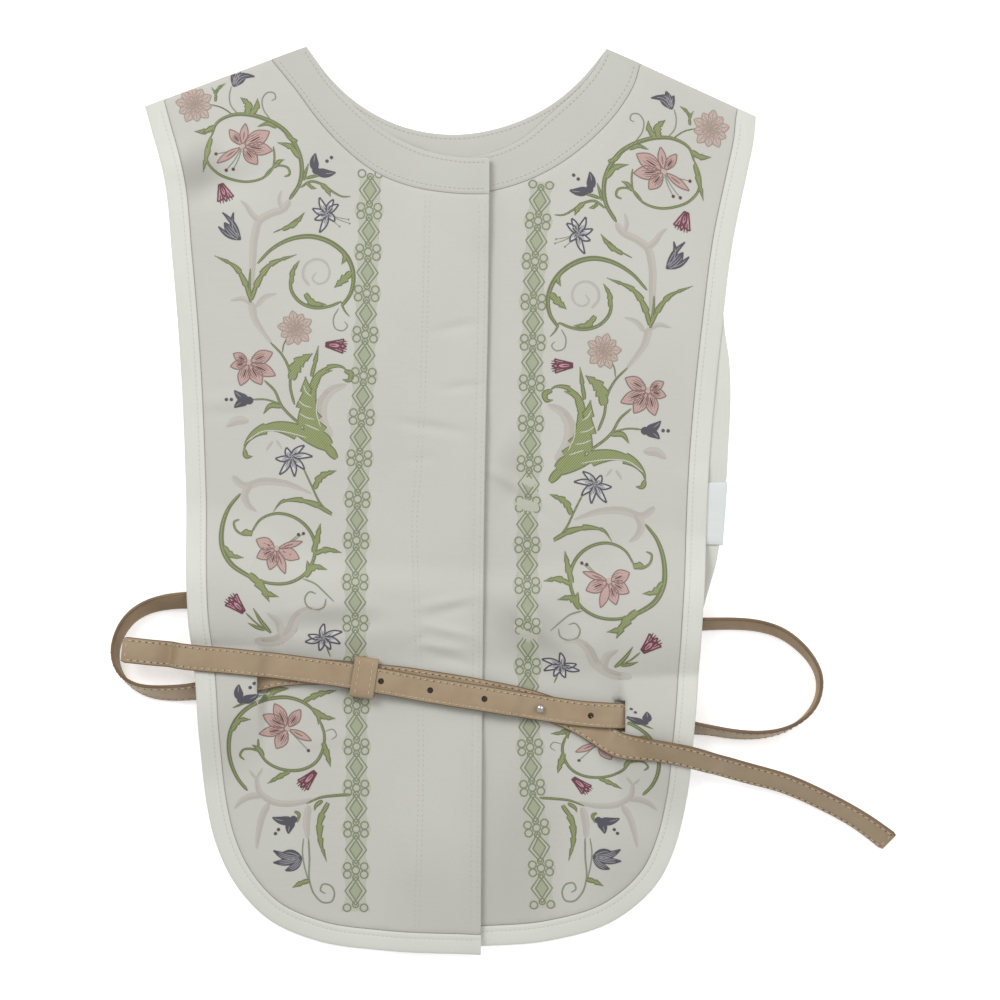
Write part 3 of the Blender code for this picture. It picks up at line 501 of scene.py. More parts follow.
def staggered_points(outline, step):
    """Points in staggered rows inside an outline, clear of its edge."""
    low, high = outline.min(axis=0), outline.max(axis=0)
    rows = []
    for i, y in enumerate(np.arange(low[1] + step / 2, high[1], step * ROW_SHARE)):
        x = np.arange(low[0] + (i % 2) * step / 2, high[0], step)
        rows.append(np.column_stack([x, np.full(len(x), y)]))
    points = np.concatenate(rows)
    points = points[inside(points, outline)]
    return points[distance_to(points, outline) > EDGE_CLEAR]


def resampled(outline, step):
    """A closed outline with points about a step apart that keeps its corners."""
    found = []
    for a, b in zip(outline, np.roll(outline, -1, axis=0)):
        count = max(1, round(float(np.linalg.norm(b - a)) / step))
        found += [a + (b - a) * i / count for i in range(count)]
    return np.array(found)


def to_metres(x, y, z):
    """A place in the tables' millimetres as one in the frame's metres."""
    return ((x - CENTRE_X) * MM, (y - CENTRE_Y) * MM, z * MM)


def clear_selection():
    for obj in bpy.context.selected_objects:
        obj.select_set(False)


def add_mesh(name, points, faces, materials, uv=None):
    """A smooth-shaded object from points in millimetres and faces, with a map in millimetres if given."""
    mesh = bpy.data.meshes.new(name)
    mesh.from_pydata([to_metres(*p) for p in points], [], [tuple(map(int, f)) for f in faces])
    if uv is not None:
        layer = mesh.uv_layers.new(name="UVMap")
        corners = np.zeros(len(mesh.loops), np.int32)
        mesh.loops.foreach_get("vertex_index", corners)
        layer.data.foreach_set("uv", (np.asarray(uv)[corners] * MM).astype(np.float32).ravel())
    for material in materials:
        mesh.materials.append(material)
    mesh.polygons.foreach_set("use_smooth", [True] * len(mesh.polygons))
    mesh.update()
    obj = bpy.data.objects.new(name, mesh)
    bpy.context.scene.collection.objects.link(obj)
    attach(obj, "root")
    return obj


def outward(obj):
    """Turns a closed mesh's faces outwards."""
    shape = bmesh.new()
    shape.from_mesh(obj.data)
    bmesh.ops.recalc_face_normals(shape, faces=shape.faces[:])
    shape.to_mesh(obj.data)
    shape.free()
    obj.data.set_sharp_from_angle(angle=SHARP)
    return obj


def rounded_wall(away, wall):
    """Thickness of a cut piece: thin at its folded edge and full a little way in."""
    full = np.sin(np.pi / 2 * np.clip(away / EDGE_SOFT, 0.0, 1.0))
    return wall * (EDGE_SHARE + (1.0 - EDGE_SHARE) * full)


def cloth_panel(name, outlines, under, wall, step, material):
    """A panel inside its outline and round its slits, with thickness, laid at under."""
    lines = [resampled(line, OUTLINE_STEP) for line in outlines]
    inner = staggered_points(lines[0], step)
    for hole in lines[1:]:
        inner = inner[~inside(inner, hole) & (distance_to(inner, hole) > SLIT_CLEAR)]
    inset = moved_in(lines[0], INSET)
    fits = inside(inset, lines[0]) & (distance_to(inset, lines[0]) > INSET_CLEAR)
    points = np.concatenate(lines + [inset[fits], inner])
    edges, start = [], 0
    for line in lines:
        edges += [(start + i, start + (i + 1) % len(line)) for i in range(len(line))]
        start += len(line)
    flat, _, triangles, *_ = delaunay_2d_cdt([Vector(p) for p in points], edges, [], 0, 1e-6)
    flat = np.array([tuple(p) for p in flat])
    triangles = np.array(triangles)
    middles = flat[triangles].mean(axis=1)
    kept = inside(middles, lines[0])
    for hole in lines[1:]:
        kept &= ~inside(middles, hole)
    triangles = triangles[kept]
    low = under(flat[:, 0], flat[:, 1])
    away = np.min([distance_to(flat, line) for line in lines], axis=0)
    count = len(flat)
    top = low + rounded_wall(away, wall)
    ends = np.concatenate([triangles[:, [0, 1]], triangles[:, [1, 2]], triangles[:, [2, 0]]])
    known = {(int(a), int(b)) for a, b in ends}
    rim = [(a, b) for a, b in known if (b, a) not in known]
    faces = [tuple(t + count) for t in triangles] + [tuple(t[::-1]) for t in triangles]
    faces += [(a, b, b + count, a + count) for a, b in rim]
    points = np.concatenate([np.column_stack([flat, low]), np.column_stack([flat, top])])
    used = np.unique(np.concatenate([triangles.ravel(), triangles.ravel() + count]))
    place = np.full(len(points), -1)
    place[used] = np.arange(len(used))
    faces = [tuple(place[list(f)]) for f in faces]
    return add_mesh(name, points[used], faces, [material])


def moved_in(outline, distance):
    """A closed outline moved to its inner side."""
    along = np.roll(outline, -1, axis=0) - np.roll(outline, 1, axis=0)
    along /= np.maximum(np.linalg.norm(along, axis=1), 1e-9)[:, None]
    side = np.stack([-along[:, 1], along[:, 0]], axis=1)
    x, y = outline.T
    turning = np.sum(x * np.roll(y, -1) - y * np.roll(x, -1))
    return outline + side * distance * np.sign(turning)


def long_band(name, outer, inner, under, heights, material):
    """A sewn-on strip from its outer edge to its inner edge. heights gives the thickness
    across it, as pairs of a share of its width and a thickness."""
    across = np.array([h[0] for h in heights])
    thick = np.array([h[1] for h in heights])
    rows, columns = len(outer), len(across)
    flat = outer[:, None, :] * (1 - across)[None, :, None] + inner[:, None, :] * across[None, :, None]
    low = under(flat[..., 0].ravel(), flat[..., 1].ravel()).reshape(rows, columns)
    top = low + thick[None, :]
    points = np.concatenate([
        np.concatenate([flat, top[..., None]], axis=2).reshape(-1, 3),
        np.concatenate([flat, low[..., None]], axis=2).reshape(-1, 3),
    ])
    along = length_along(outer)
    width = float(np.linalg.norm(inner - outer, axis=1).mean())
    uv = np.stack(np.broadcast_arrays(along[:, None], across[None, :] * width), axis=2).reshape(-1, 2)
    at = np.arange(rows * columns).reshape(rows, columns)
    faces = []
    for i in range(rows - 1):
        for j in range(columns - 1):
            quad = (at[i, j], at[i + 1, j], at[i + 1, j + 1], at[i, j + 1])
            faces.append(quad)
            faces.append(tuple(q + rows * columns for q in quad[::-1]))
    rim = list(at[:, 0]) + list(at[-1, 1:]) + list(at[-2::-1, -1]) + list(at[0, -2:0:-1])
    for a, b in zip(rim, rim[1:] + rim[:1]):
        faces.append((a, a + rows * columns, b + rows * columns, b))
    return outward(add_mesh(name, points, faces, [material], np.concatenate([uv, uv])))


def linear(colour):
    """Linear values of a colour given in display steps of 0 to 255."""
    return tuple(((c / 255 + 0.055) / 1.055) ** 2.4 for c in colour)


class Look:
    """A material being put together from nodes round one Principled shader."""

    def __init__(self, name, roughness, metallic=0.0, coordinates="Object"):
        self.material = bpy.data.materials.new(name)
        self.material.use_nodes = True
        self.nodes = self.material.node_tree.nodes
        self.links = self.material.node_tree.links
        self.shader = self.nodes["Principled BSDF"]
        self.shader.inputs["Roughness"].default_value = roughness
        self.shader.inputs["Metallic"].default_value = metallic
        self.place = self.nodes.new("ShaderNodeTexCoord").outputs[coordinates]

    def wired(self, kind, source, result, setting=None, **values):
        """A new node whose first socket reads source. A setting is the name of one of the
        node's own choices and what is chosen, and values fill its other sockets."""
        node = self.nodes.new("ShaderNode" + kind)
        if setting:
            setattr(node, *setting)
        for name, value in values.items():
            node.inputs[name.replace("_", " ").title()].default_value = value
        self.links.new(source, node.inputs[0])
        return node.outputs[result]

    def mapped(self, scale=(1, 1, 1), turn=0.0):
        turned = (0.0, 0.0, math.radians(turn))
        return self.wired("Mapping", self.place, "Vector", rotation=turned, scale=scale)

    def noise(self, size, detail=3.0, scale=(1, 1, 1)):
        """Noise whose blotches are about size millimetres across."""
        place = self.mapped(scale)
        return self.wired("TexNoise", place, "Fac", scale=1.0 / (size * MM), detail=detail)

    def ribs(self, pitch, turn, wobble=0.0):
        """Straight ribs with a pitch in millimetres."""
        scale = math.pi / (10 * pitch * MM)
        return self.wired(
            "TexWave", self.mapped(turn=turn), "Fac", ("bands_direction", "X"), scale=scale,
            distortion=wobble,
        )

    def cells(self, size):
        """Cells about size millimetres across, 0 at their edges."""
        edges = ("feature", "DISTANCE_TO_EDGE")
        return self.wired("TexVoronoi", self.mapped(), "Distance", edges, scale=1.0 / (size * MM))

    def math(self, operation, a, b):
        node = self.nodes.new("ShaderNodeMath")
        node.operation = operation
        for socket, value in zip(node.inputs, (a, b)):
            if isinstance(value, (int, float)):
                socket.default_value = value
            else:
                self.links.new(value, socket)
        return node.outputs["Value"]

    def fade(self, value, low, high, setting=None):
        """0 where the value is at low, and 1 at high."""
        return self.wired("MapRange", value, "Result", setting, from_min=low, from_max=high)

    def blend(self, share, first, second):
        """A colour between two, each a colour of 0 to 255 or another blend."""
        node = self.nodes.new("ShaderNodeMix")
        node.data_type = "RGBA"
        self.links.new(share, node.inputs["Factor"])
        for socket, colour in zip([s for s in node.inputs if s.type == "RGBA"], (first, second)):
            if isinstance(colour, tuple):
                socket.default_value = (*linear(colour), 1.0)
            else:
                self.links.new(colour, socket)
        return [s for s in node.outputs if s.type == "RGBA"][0]

    def oval(self, middle, half, turn):
        """1 in the middle of a soft oval in plan and 0 outside it, sizes in millimetres."""
        place = self.wired(
            "Mapping", self.place, "Vector", ("vector_type", "TEXTURE"),
            location=to_metres(*middle, 0.0), rotation=(0.0, 0.0, math.radians(turn)),
            scale=(half[0] * MM, half[1] * MM, 1.0),
        )
        away = self.wired("VectorMath", place, "Value", ("operation", "LENGTH"))
        return self.fade(away, 1.0, 0.1, ("interpolation_type", "SMOOTHSTEP"))

    def colour(self, value):
        self.links.new(value, self.shader.inputs["Base Color"])

    def bump(self, value, height, strength=1.0):
        """Relief of a height in millimetres."""
        node = self.nodes.new("ShaderNodeBump")
        node.inputs["Strength"].default_value = strength
        node.inputs["Distance"].default_value = height * MM
        self.links.new(value, node.inputs["Height"])
        if self.shader.inputs["Normal"].is_linked:
            self.links.new(self.shader.inputs["Normal"].links[0].from_socket, node.inputs["Normal"])
        self.links.new(node.outputs["Normal"], self.shader.inputs["Normal"])

    def sheen(self, weight, roughness):
        self.shader.inputs["Sheen Weight"].default_value = weight
        self.shader.inputs["Sheen Roughness"].default_value = roughness


def woven_cloth(name, light, dark, warm, coordinates="Object", pitch=0.42, relief=0.05, painted_shades=()):
    """Fine plain weave with slubs along the weft, soft patches of tone, and soft ovals of painted shade
    where given.
    """
    look = Look(name, 0.62, coordinates=coordinates)
    patches = look.fade(look.noise(90.0, 2.0), 0.35, 0.65)
    tone = look.blend(patches, light, dark)
    slubs = look.fade(look.noise(1.1, 2.0, (0.05, 1.0, 1.0)), 0.42, 0.78)
    tone = look.blend(look.math("MULTIPLY", slubs, 0.35), tone, warm)
    # each oval darkens the tone towards a painted shade
    for middle, half, turn, share in painted_shades:
        tone = look.blend(look.math("MULTIPLY", look.oval(middle, half, turn), share), tone, PAINTED_SHADE_TONE)
    look.colour(tone)
    warp, weft = look.ribs(pitch, 0.0, 0.4), look.ribs(pitch * 0.9, 90.0, 0.4)
    look.bump(look.math("MAXIMUM", warp, weft), relief, 0.6)
    look.bump(look.noise(14.0, 4.0), 0.35, 0.25)
    look.sheen(0.12, 0.5)
    return look.material


def thread_look(name, shade, slant):
    """Silk floats that slant across a motif, more or less plainly."""
    look = Look(name, 0.55)
    light = tuple(min(255, round(c * (1 + 0.2 * slant) + 8 * slant)) for c in shade)
    dark = tuple(round(c * (1 - 0.2 * slant)) for c in shade)
    hatch = look.ribs(1.15, 42.0, 0.6)
    look.colour(look.blend(hatch, dark, light))
    look.bump(hatch, 0.05, 0.5)
    look.sheen(0.1, 0.4)
    return look.material


def leather_look(name, light, dark, roughness, relief):
    """Smooth grained leather with faint creases and uneven colour."""
    look = Look(name, roughness, coordinates="UV")
    tone = look.blend(look.fade(look.noise(16.0, 3.0), 0.3, 0.7), light, dark)
    pores = look.fade(look.cells(0.75), 0.0, 0.22)
    tone = look.blend(look.math("MULTIPLY", look.math("SUBTRACT", 1.0, pores), 0.3), tone, dark)
    look.colour(tone)
    look.bump(pores, relief, 0.5)
    look.bump(look.noise(2.4, 4.0, (0.6, 1.0, 1.0)), 0.12, 0.35)
    return look.material


def stitch_look(name, shade, dark):
    look = Look(name, 0.6)
    twist = look.ribs(0.5, 30.0)
    look.colour(look.blend(twist, shade, dark))
    look.bump(twist, 0.08, 0.5)
    return look.material


def polished_metal():
    look = Look("polished_steel", 0.12, 1.0)
    scratches = look.noise(0.3, 2.0, (1.0, 0.2, 1.0))
    look.colour(look.blend(look.fade(scratches, 0.3, 0.7), (222, 221, 218), (196, 194, 190)))
    look.bump(scratches, 0.01, 0.2)
    return look.material


def make_looks():
    looks = {
        # the fronts' cloth carries the ovals of painted shade
        "cloth": woven_cloth("figured_cloth", *CLOTH_TONES, painted_shades=PAINTED_SHADE_PATCHES),
        "back_cloth": woven_cloth("back_figured_cloth", *CLOTH_TONES),
        "neckband": woven_cloth("plain_cloth", (197, 198, 190), (193, 193, 186), (200, 197, 190)),
        "binding": woven_cloth(
            "cotton_binding", (220, 221, 213), (214, 215, 206), (224, 224, 216), "UV", 0.55, 0.07
        ),
        "label": woven_cloth("satin_label", (228, 233, 231), (222, 228, 226), (233, 236, 234), pitch=0.3),
        "leather": leather_look("leather_face", (172, 152, 124), (160, 138, 110), 0.5, 0.06),
        "leather_back": leather_look("leather_inside", (163, 140, 109), (145, 121, 91), 0.68, 0.1),
        "leather_edge": leather_look("leather_edge_paint", (128, 104, 78), (108, 86, 62), 0.4, 0.03),
        # Near-black leather as painted shade inside the punched holes and the needle's holes
        "hole_painted_shade": leather_look("hole_painted_shade", (66, 46, 34), (52, 36, 26), 0.8, 0.05),
        "belt_thread": stitch_look("belt_thread", (218, 203, 178), (186, 166, 138)),
        "pale_thread": stitch_look("pale_thread", (214, 214, 208), (190, 188, 182)),
        "grey_thread": stitch_look("grey_thread", (176, 172, 167), (154, 149, 147)),
        "stud": polished_metal(),
    }
    for colour, (shade, _, slant) in THREADS.items():
        looks[colour] = thread_look(colour + "_silk", shade, slant)
    return looks


# The needlework is set out for the left front in the photograph's pixels, which are this
# many millimetres wide, about this middle.
PIXEL = 0.62
PICTURE_CENTRE = 499.5
# Each thread's colour, the level at which it lies, and how far its slant shows
THREADS = {
    "lattice_ground": ((185, 188, 171), 0, 0.2), "taupe": ((191, 186, 177), 1, 0.0),
    "lattice_field": ((164, 169, 144), 2, 0.2), "leaf": ((109, 117, 80), 3, 0.45),
    "leaf_light": ((134, 143, 94), 4, 0.8), "ground": ((196, 197, 188), 5, 0.0),
    "tendril": ((136, 143, 121), 2, 0.0),
    "lattice_line": ((130, 136, 108), 4, 0.0), "taupe_line": ((184, 179, 169), 2, 0.0),
    "pink": ((187, 157, 150), 4, 0.35), "pale_pink": ((189, 171, 160), 4, 0.3),
    "cream": ((203, 203, 201), 4, 0.1), "pale_line": ((163, 145, 133), 5, 0.0),
    "rose_line": ((136, 108, 102), 5, 0.0), "wine": ((98, 64, 62), 6, 0.0),
    "rose": ((190, 143, 155), 5, 0.2), "navy": ((80, 78, 88), 5, 0.15),
    "navy_light": ((150, 149, 152), 6, 0.0), "crimson": ((104, 56, 67), 6, 0.1),
}
# Height of the lowest level, of each level over the last, and of a thread's rounded back
BED, LIFT, CROWN = 0.03, 0.045, 0.02
# Rays that find the cloth start this high, in metres
RAY_START = 0.1
DOWN = Vector((0.0, 0.0, -1.0))
NO_CLOTH = -1.0


# Spacing of the points on a stem and on a leaf, in pixels, and round a ring
STEM_STEP, LEAF_STEP = 2.0, 1.2
RING_POINTS = 14
# How deep a leaf's teeth cut, as a share of its width
TOOTH_BITE = 0.45
# How much of each half of a thick stem is paler
PALE_SIDES = (0.42, 0.12)
# A lily's petals that are wider than this have all their veins.
WIDE_PETAL = 8
# A stem wider than this has a paler line along it.
THICK_STEM = 1.7


def needle_line(points, step=STEM_STEP):
    return smooth_line([(float(x), float(y)) for x, y in points], step)


def satin(drawn, colour, spine, left, right, columns=5):
    """A band of thread along a spine with its own width to each side."""
    share = np.linspace(-1.0, 1.0, columns)
    width = np.where(share[None, :] < 0, np.asarray(left)[:, None], np.asarray(right)[:, None])
    off = right_of(spine)[:, None, :] * width[..., None] * share[None, :, None]
    drawn.setdefault(colour, []).append(spine[:, None, :] + off)


def stem(drawn, points, start, end, colour="leaf", swell=0.0):
    """A stem that tapers, or swells and tapers, along its length."""
    spine = needle_line(points)
    t = np.linspace(0.0, 1.0, len(spine))
    width = (start + (end - start) * t + swell * np.sin(np.pi * t)) / 2
    width *= 1 - 0.5 * np.maximum(0, 1 - np.minimum(t, 1 - t) * len(spine) / 2)
    satin(drawn, colour, spine, width, width, 3)
    if colour == "leaf" and max(start, end) > THICK_STEM:
        satin(drawn, "leaf_light", spine, PALE_SIDES[0] * width, PALE_SIDES[1] * width, 3)
    elif colour == "taupe":
        satin(drawn, "taupe_line", spine, 0.1 * width - 0.4, width, 3)


def ring(drawn, centre, radius, width, colour):
    angle = np.radians(np.linspace(0.0, 360.0, RING_POINTS + 1))
    spine = np.array(centre) + radius * np.stack([np.cos(angle), np.sin(angle)], axis=1)
    half = np.full(len(spine), width / 2)
    satin(drawn, colour, spine, half, half, 3)


def dot(drawn, centre, radius, colour):
    spine = np.array(centre) + np.outer(np.linspace(-1, 1, 6) * radius, [0.0, 1.0])
    half = radius * np.sqrt(np.maximum(1 - np.linspace(-0.97, 0.97, 6) ** 2, 0))
    satin(drawn, colour, spine, half, half, 3)


def leaf(drawn, points, left, right, teeth):
    """A leaf along its midrib, with pointed teeth along both sides, and paler thread on each
    side between the midrib and the edge."""
    spine = needle_line(points, LEAF_STEP)
    t = np.linspace(0.0, 1.0, len(spine))
    body = np.sin(np.pi * np.clip(t * 0.94 + 0.06, 0, 1) ** 0.75) ** 0.85
    saw = 1.0 - TOOTH_BITE * ((t * teeth) % 1.0) ** 1.3 if teeth else 1.0
    slim = np.maximum(body, 0.05)
    satin(drawn, "leaf", spine, left * slim * saw + 0.25, right * slim * saw + 0.25)
    for side, width in ((0, left), (1, right)):
        half = width * slim * saw
        near, far = -(0.3 + 0.1 * half), np.maximum(half - 0.95, 0.3)
        satin(drawn, "leaf_light", spine, *((near, far) if side else (far, near)), 3)


def petal(drawn, base, tip, width, fill, line, line_width=1.0, bend=0.0, widest=0.5):
    """A petal from its base to its tip, with an outline, widest at a share of its length.
    It returns its middle line."""
    base, tip = np.array(base, float), np.array(tip, float)
    reach = tip - base
    side_on = np.array([reach[1], -reach[0]])
    t = np.linspace(0.0, 1.0, 11)
    spine = base + np.outer(t, reach) + np.outer(bend * np.sin(np.pi * t), side_on)
    rise, fall = np.minimum(t / widest, 1.0), np.minimum((1.0 - t) / (1.0 - widest), 1.0)
    half = np.maximum(width / 2 * np.sin(rise * np.pi / 2) ** 0.8 * np.sin(fall * np.pi / 2) ** 0.9, 0.15)
    satin(drawn, fill, spine, half, half)
    thin = np.full(len(t), line_width / 2)
    for side in (-1, 1):
        satin(drawn, line, spine + side * right_of(spine) * half[:, None], thin, thin, 3)
    return spine


def vein(drawn, spine, start, end, width, colour, shift=0.0):
    """A line along part of a petal's middle line, or beside it."""
    t = np.linspace(0.0, 1.0, len(spine))
    kept = spine[(t >= start) & (t <= end)]
    along = kept[-1] - kept[0]
    normal = np.array([along[1], -along[0]]) / max(float(np.linalg.norm(along)), 1e-6)
    half = width / 2 * np.sin(np.pi * np.linspace(0.15, 0.85, len(kept)))
    satin(drawn, colour, kept + normal * shift, half, half, 3)


def lily(drawn, centre, petals, stamens):
    """An open lily: its petals' tips and widths, and the tips of its stamens."""
    centre = np.array(centre, float)
    for x, y, width in petals:
        tip = np.array([x, y], float)
        spine = petal(drawn, centre + 0.1 * (tip - centre), tip, width, "pink", "rose_line")
        vein(drawn, spine, 0.15, 0.7, 1.5, "wine" if width > WIDE_PETAL else "rose_line")
        if width > WIDE_PETAL:
            for share in (-0.3, -0.15, 0.15, 0.3):
                vein(drawn, spine, 0.1, 0.95 - abs(share), 0.8, "rose_line", width * share)
            for share in (-0.22, 0.22):
                vein(drawn, spine, 0.3, 0.8, 1.1, "pale_pink", width * share)
    dot(drawn, centre, 3.0, "pale_pink")
    for x, y in stamens:
        tip = np.array([x, y], float)
        stem(drawn, [centre, (centre + tip) / 2 + (1, 1), tip], 1.1, 0.9, "tendril")
        dot(drawn, tip, 1.6, "wine")


def towards(degrees):
    """Unit direction at an angle in the picture."""
    turn = math.radians(degrees)
    return np.array([math.cos(turn), math.sin(turn)])


def pale_flower(drawn, centre, radius):
    """A pale double flower of ten petals around eight short ones."""
    centre = np.array(centre, float)
    for i in range(10):
        tip = centre + radius * (1.0 if i % 2 else 0.9) * towards(8 + 36 * i)
        spine = petal(drawn, centre, tip, radius * 0.46, "pale_pink", "pale_line", 0.9, widest=0.65)
        vein(drawn, spine, 0.4, 0.9, 1.0, "pale_line")
    for i in range(8):
        tip = centre + radius * 0.5 * towards(20 + 45 * i)
        petal(drawn, centre, tip, radius * 0.24, "pink", "pale_line", 0.7)
    dot(drawn, centre, radius * 0.12, "cream")


def star_flower(drawn, centre, tips, feelers):
    """A flower of white pointed petals outlined in navy."""
    centre = np.array(centre, float)
    for x, y in tips:
        spine = petal(drawn, centre, (x, y), 5.4, "cream", "navy", 1.5, 0.06, 0.42)
        vein(drawn, spine, 0.0, 0.7, 1.2, "navy_light", 0.9)
        vein(drawn, spine, 0.1, 0.6, 0.9, "navy", -0.7)
    for angle in range(0, 180, 36):
        half = 3.4 * towards(angle)
        stem(drawn, [centre - half, centre, centre + half], 1.1, 1.1, "navy")
    for x, y in feelers:
        stem(drawn, [centre, ((centre[0] + x) / 2, (centre[1] + y) / 2 + 1), (x, y)], 0.9, 0.7, "tendril")
        dot(drawn, (x, y), 1.0, "tendril")


def tulip(drawn, base, mouth, spread):
    """A crimson flower from its base to the middle of its mouth, with rose lobes between."""
    base, mouth = np.array(base, float), np.array(mouth, float)
    reach = mouth - base
    side_on = np.array([reach[1], -reach[0]]) / np.linalg.norm(reach)
    for share, width in ((-1.0, 7.6), (1.0, 7.6), (0.0, 5.0)):
        tip = mouth + side_on * spread * share - reach * 0.15 * abs(share)
        spine = petal(
            drawn, base + side_on * share * 1.8, tip, width, "rose", "crimson", 1.4, -0.2 * share
        )
        vein(drawn, spine, 0.15, 0.55, 1.2, "crimson" if share == 0 else "rose")
    for share in (-0.75, -0.4, 0.4, 0.75):
        root = base + reach * 0.55 + side_on * spread * share * 0.6
        tip = mouth + side_on * spread * share + reach * (0.08 - 0.1 * abs(share))
        stem(drawn, [root, (root + tip) / 2, tip], 1.4, 1.1, "crimson")
    dot(drawn, base + reach * 0.1, 1.8, "crimson")


def bell(drawn, base, petals):
    """A navy bellflower: petals from one base, each with lighter threads along it."""
    for x, y, width, bend in petals:
        spine = petal(drawn, base, (x, y), width, "navy", "navy", 1.0, bend)
        for shift in (-0.26, 0.0, 0.26) if width > 6 else (0.0,):
            vein(drawn, spine, 0.1, 0.85, 0.9, "navy_light", shift * width)


def bud(drawn, base, tips, dots):
    """A small navy bud of two curved petals, with dots before it."""
    for (x, y), bend in zip(tips, (0.1, -0.1)):
        spine = petal(drawn, base, (x, y), 8.0, "navy", "navy", 1.0, bend, 0.35)
        vein(drawn, spine, 0.5, 0.9, 0.8, "navy_light")
    dot(drawn, base, 3.8, "navy")
    for x, y in dots:
        dot(drawn, (x, y), 1.7, "navy")


# A middle, the petals' tips with their widths, and the stamens' tips
LILIES = [
    ((242, 146),
     [(229, 129, 9), (245, 123, 8), (269, 131, 15), (272, 150, 13), (257, 164, 12), (217, 163, 7)],
     [(216, 154), (226, 170), (233, 169)]),
    ((248, 362),
     [(272, 352, 13), (275, 375, 12), (261, 384, 13), (240, 385, 12), (230, 366, 9), (233, 353, 9)],
     []),
    ((276, 548),
     [(256, 539, 12), (257, 557, 12), (270, 569, 11), (285, 573, 8), (299, 558, 12), (302, 541, 6)],
     [(298, 534), (303, 533)]),
    ((287, 728),
     [(274, 703, 12), (263, 714, 12), (259, 733, 10), (276, 748, 13), (300, 709, 11), (311, 740, 7)],
     [(308, 750)]),
]
# A centre and a radius
PALE_FLOWERS = [((194, 104), 19), ((295, 328), 18)]
# A centre, the petals' tips and the feelers' tips
STAR_FLOWERS = [
    ((327, 213), [(319, 197), (312, 208), (314, 219), (319, 232), (333, 199), (338, 204), (334, 221)],
     [(348, 219), (349, 223), (339, 226)]),
    ((290, 457), [(304, 445), (312, 456), (304, 469), (294, 476), (279, 474), (275, 458), (286, 447)], []),
    ((322, 637), [(342, 631), (340, 643), (330, 649), (319, 650), (305, 641), (308, 634), (324, 623)], []),
]
# A base, the middle of the mouth, and half the mouth's width
TULIPS = [
    ((220, 183), (226, 201), 8.5), ((325, 344), (346, 346), 7), ((245, 611), (230, 596), 8),
    ((315, 771), (300, 787), 7),
]
# A base, and the petals' tips with width and bend
BELLS = [
    ((233, 86), [(247, 74, 10, 0.12), (239, 69, 7, 0.0), (254, 76, 5, 0.22), (231, 73, 5, -0.1)]),
    ((240, 239), [(224, 222, 9, 0.06), (222, 212, 4, -0.08), (233, 212, 4, 0.16), (218, 226, 4, 0.1)]),
    ((301, 857), [(273, 850, 6.5, 0.1), (273, 862, 6.5, 0.06), (285, 870, 6.5, 0.12), (281, 853, 6, -0.12)]),
]
# A base, the two petals' tips, and the dots before them
BUDS = [
    ((315.5, 170), [(315, 153), (335, 172)], [(331, 157), (326.5, 160.6)]),
    ((249, 400), [(234, 390), (234, 407)], [(226, 399), (231, 399)]),
    ((242, 698), [(240, 683), (259, 693)], [(255, 682), (251, 686)]),
    ((293, 819), [(272, 817), (288, 833)], [(278, 829), (275, 833)]),
]
